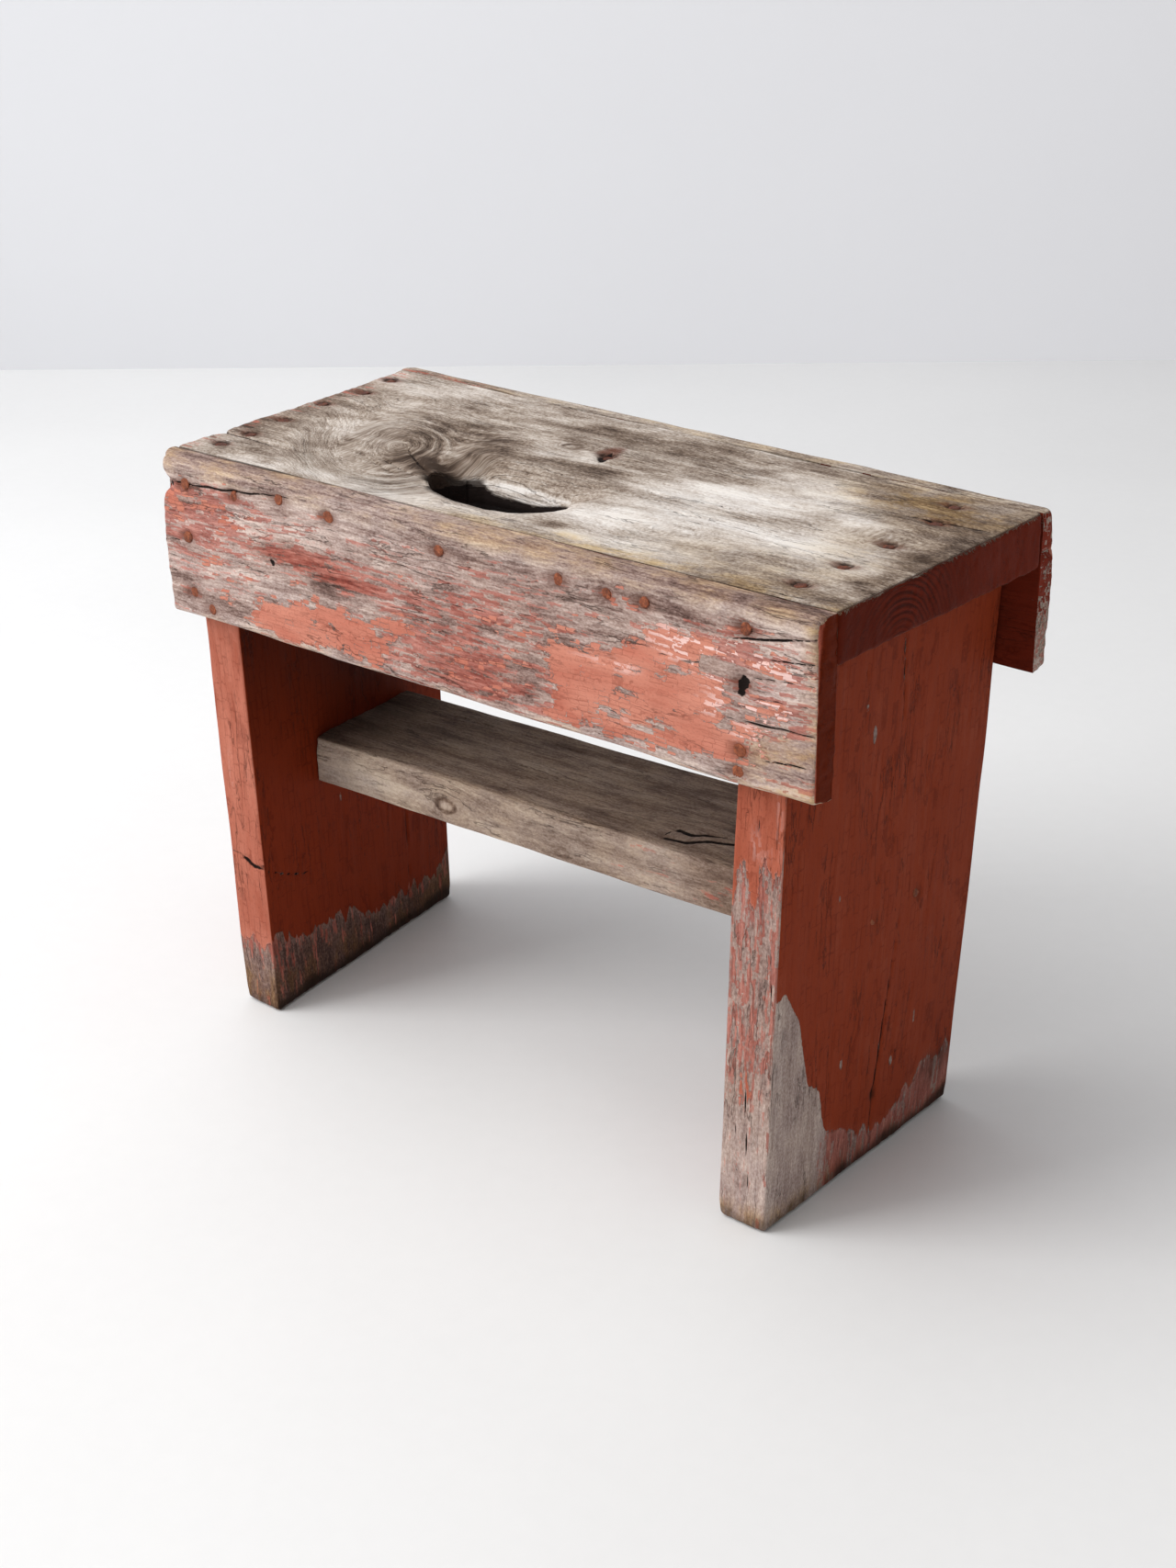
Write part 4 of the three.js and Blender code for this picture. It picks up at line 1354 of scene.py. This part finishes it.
def stretcher_place(p):
    """Where a point of the flat stretcher lies, between the legs."""
    y = STRETCHER_FRONT + p[:, 1]
    level = STRETCHER_LOW + p[:, 2]
    left = left_leg(y, level) + PLANK / 2 + GAP
    right = right_leg(y, level) - PLANK / 2 - GAP
    x = left + (right - left) * p[:, 0] / STRETCHER_SIZE[0]
    return np.stack([x, y, level + STRETCHER_RISE * (x - MIDDLE_X)], 1)


TOP_KNOT, NEAR_KNOT = (112, -25, 5, 16), (-96, 189, 4, 14)  # in X and Y, and in X and Z
TOP_CRACKS = [
    ([(97, -26), (101, -33), (118, -31), (130, -20), (150, -12), (175, -8)], 2.0, 1.0),
    ([(97, -26), (101, -17), (114, -19), (122, -14), (138, -7)], 1.8, 1.0),
    ([(-120, 20), (-40, 16), (60, 19), (150, 14)], 0.9, 0.5),
    ([(-180, 50), (-90, 52), (0, 48)], 0.9, 0.4),
]


def stretcher_look(local, world, normal):
    """Fields and relief of the stretcher."""
    x, y, z = world.T
    top = facing(normal, "+z")
    near = facing(normal, "-y")
    push = weathering(local, 91, 1.0)
    crack = crack_field(x, y, TOP_CRACKS, 94) * top
    push = push - 1.3 * smooth(0.72, 0.95, crack)
    ring = np.hypot((x - NEAR_KNOT[0]) / 1.7, z - 190)
    knot = near * np.exp(-(((ring - 5.0) / 1.1) ** 2))
    light = near * (0.06 + 0.2 * blob(x, z, -190, 192, 60, 10) - 0.2 * smooth(110, 175, x))
    light = light + near * 0.15 * np.exp(-((ring / 3.6) ** 2)) - 0.45 * knot - 0.10 * top
    light = light + 0.12 * noise(x / 50, y / 9, z / 9, 95)
    edge = near * smooth(10, 2, 222 + STRETCHER_RISE * (x - MIDDLE_X) - z) * blob(x, z, 0, 214, 120, 30)
    warm = 0.35 + 0.7 * edge
    # Darker on its top, back and underside; the strong darkening at the left end, by the left leg, is painted
    # shade.
    dirt = top * (0.16 + 0.5 * smooth(-170, -240, x)) + 0.3 * (1 - near) * (1 - top)
    dirt = dirt + 0.35 * near * smooth(-226, -240, x)
    bend_y = knot_bend(x, y, [TOP_KNOT]) * top
    bend_z = knot_bend(x, z, [NEAR_KNOT]) * near
    return {
        "light": light, "warm": warm, "dirt": dirt, "paint": np.full(len(x), -1.0), "crack": crack,
        "red": 0.12 * near * (x > 60),
        "bend": np.stack([bend_y, bend_z], 1),
    }, push


plank(
    "stretcher_plank", "stretcher", STRETCHER_SIZE, (3.6, 1.6, 1.6), stretcher_radius, stretcher_place,
    stretcher_look, mat_stretcher,
)


# ---------------------------------------------------------------- nails
DEEP_NAIL = np.array([238, -HALF_DEPTH, 393])  # driven right into the front apron


def nail_object(node, index):
    """A hand-driven nail: a domed, chipped head, slightly tilted, on a plain shank."""
    spot, outward = SPOTS[node]
    rng = np.random.RandomState(500 + index)
    sides = 20
    sunk = 1.3 if node.startswith("nail_seat") else 1.1
    to_deep = spot - DEEP_NAIL
    if node.startswith("nail_front") and abs(to_deep[0]) < 5 and abs(to_deep[2]) < 6:
        sunk = 3.6
    if "stray" in node:
        sunk = 2.8
    low, high = box_mm(node)
    length = float(np.max(high - low)) - 1.0
    head = rng.uniform(3.7, 4.7)
    # radius and height of each ring, from the middle of the head down to the point
    rings = [
        (0.0, 0.1), (head * 0.35, 0.12), (head * 0.7, 0.16), (head * 0.9, 0.02), (head, -0.4),
        (head * 0.96, -1.1), (1.9, -1.5), (1.85, -length + 5.0), (0.0, -length),
    ]
    wobble = 1 + 0.06 * np.sin(np.arange(sides) * 2 * np.pi / sides * 2 + rng.uniform(0, 6))
    wobble = wobble + rng.uniform(-0.025, 0.025, sides)
    verts = [(0, 0, rings[0][1])]
    for radius, height in rings[1:-1]:
        for s in range(sides):
            turn = 2 * np.pi * s / sides
            r = radius * (wobble[s] if radius > 2 else 1)
            dent = 0.12 * rng.randn() if radius > 2 else 0
            verts.append((r * math.cos(turn), r * math.sin(turn), height + dent))
    verts.append((0, 0, rings[-1][1]))
    faces = [(0, 1 + s, 1 + (s + 1) % sides) for s in range(sides)]
    for ring in range(len(rings) - 3):
        base = 1 + ring * sides
        for s in range(sides):
            t = (s + 1) % sides
            faces.append((base + s, base + sides + s, base + sides + t, base + t))
    last = len(verts) - 1
    base = last - sides
    faces += [(base + s, last, base + (s + 1) % sides) for s in range(sides)]
    mesh = bpy.data.meshes.new(node + "_head")
    lean = [rng.uniform(-0.07, 0.07) for _ in range(2)]
    tilt = Matrix.Rotation(lean[0], 3, "X") @ Matrix.Rotation(lean[1], 3, "Y")
    aim = Vector((0, 0, 1)).rotation_difference(Vector(outward)).to_matrix()
    centre = Vector(spot - outward * sunk)
    placed = [((aim @ (tilt @ Vector(v))) + centre) * MM for v in verts]
    mesh.from_pydata(placed, [], faces)
    rust = mat_rust_dark if node.startswith("nail_seat") else mat_rust
    add_piece(node + "_rusty", mesh, rust, node)


for index, node in enumerate(NAILS):
    nail_object(node, index)


# ---------------------------------------------------------------- studio
def floor_material():
    """A pale, slightly cloudy floor."""
    g = Graph("pale_floor")
    place = g.node("ShaderNodeTexCoord").outputs["Object"]
    cloud = g.noise(g.stretch(place, (1.2, 1.2, 1.2)), 4.0, 0.5)
    grit = g.noise(g.stretch(place, (60, 60, 60)), 4.0, 0.6)
    greys = [(0.2, (0.77, 0.775, 0.78)), (0.8, (0.85, 0.855, 0.86))]
    colour = g.ramp(g.add(g.mul(cloud, 0.8), g.mul(grit, 0.2)), greys)
    return g.finish(colour, 0.55, grit, 0.05, 0.001, 0.3)


def wall_material():
    """A pale wall with painted light: a little lighter towards the right."""
    g = Graph("pale_wall")
    place = g.node("ShaderNodeTexCoord").outputs["Object"]
    cloud = g.noise(g.stretch(place, (0.9, 0.9, 0.9)), 3.0, 0.5)
    dot = g.node("ShaderNodeVectorMath", {0: place, 1: tuple(side)}, operation="DOT_PRODUCT")
    across = dot.outputs["Value"]
    # Painted light: the wall grows lighter towards the right.
    shade = g.add(g.mul(cloud, 0.25), g.mul(across, 0.33), 0.35)
    colour = g.ramp(shade, [(0.0, (0.68, 0.69, 0.72)), (1.0, (0.90, 0.905, 0.94))])
    return g.finish(colour, 0.8, cloud, 0.02, 0.001, 0.2)


def plane(name, corners, material):
    """A staging surface, which isn't part of the stool."""
    mesh = bpy.data.meshes.new(name)
    mesh.from_pydata(corners, [], [(0, 1, 2, 3)])
    mesh.materials.append(material)
    obj = bpy.data.objects.new(name, mesh)
    bpy.context.scene.collection.objects.link(obj)


FAR = 7.0  # half the width of the floor and the wall
WALL = 2.35  # how far behind the stool the wall stands, along the camera's view
away = Vector((-math.sin(YAW), math.cos(YAW), 0))
side = Vector((math.cos(YAW), math.sin(YAW), 0))
plane("floor", [(-FAR, -FAR, 0), (FAR, -FAR, 0), (FAR, FAR, 0), (-FAR, FAR, 0)], floor_material())
left, right = away * WALL - side * FAR, away * WALL + side * FAR
rise = Vector((0, 0, 4))
plane("wall", [left, right, right + rise, left + rise], wall_material())


def area_light(name, place, target, size, power, colour):
    """A rectangular lamp at a place in metres, aimed at the target."""
    data = bpy.data.lights.new(name, "AREA")
    data.shape = "RECTANGLE"
    data.size, data.size_y = size
    data.energy = power
    data.color = colour
    lamp = bpy.data.objects.new(name, data)
    bpy.context.scene.collection.objects.link(lamp)
    lamp.location = place
    lamp.rotation_euler = (Vector(target) - Vector(place)).to_track_quat("-Z", "Y").to_euler()


area_light("window", (-2.8, -3.2, 2.6), (0.0, 0.0, 0.3), (2.6, 2.3), 150, (1.0, 0.992, 0.98))
area_light("ceiling", (-0.9, -0.9, 2.9), (-0.1, 0.0, 0.0), (2.8, 2.8), 58, (1.0, 0.99, 0.98))
world = bpy.data.worlds.new("studio")
world.use_nodes = True
backdrop = world.node_tree.nodes["Background"]
backdrop.inputs[0].default_value = (1.0, 0.985, 0.97, 1)
backdrop.inputs[1].default_value = 0.36
bpy.context.scene.world = world
bpy.context.scene.view_settings.view_transform = "Standard"
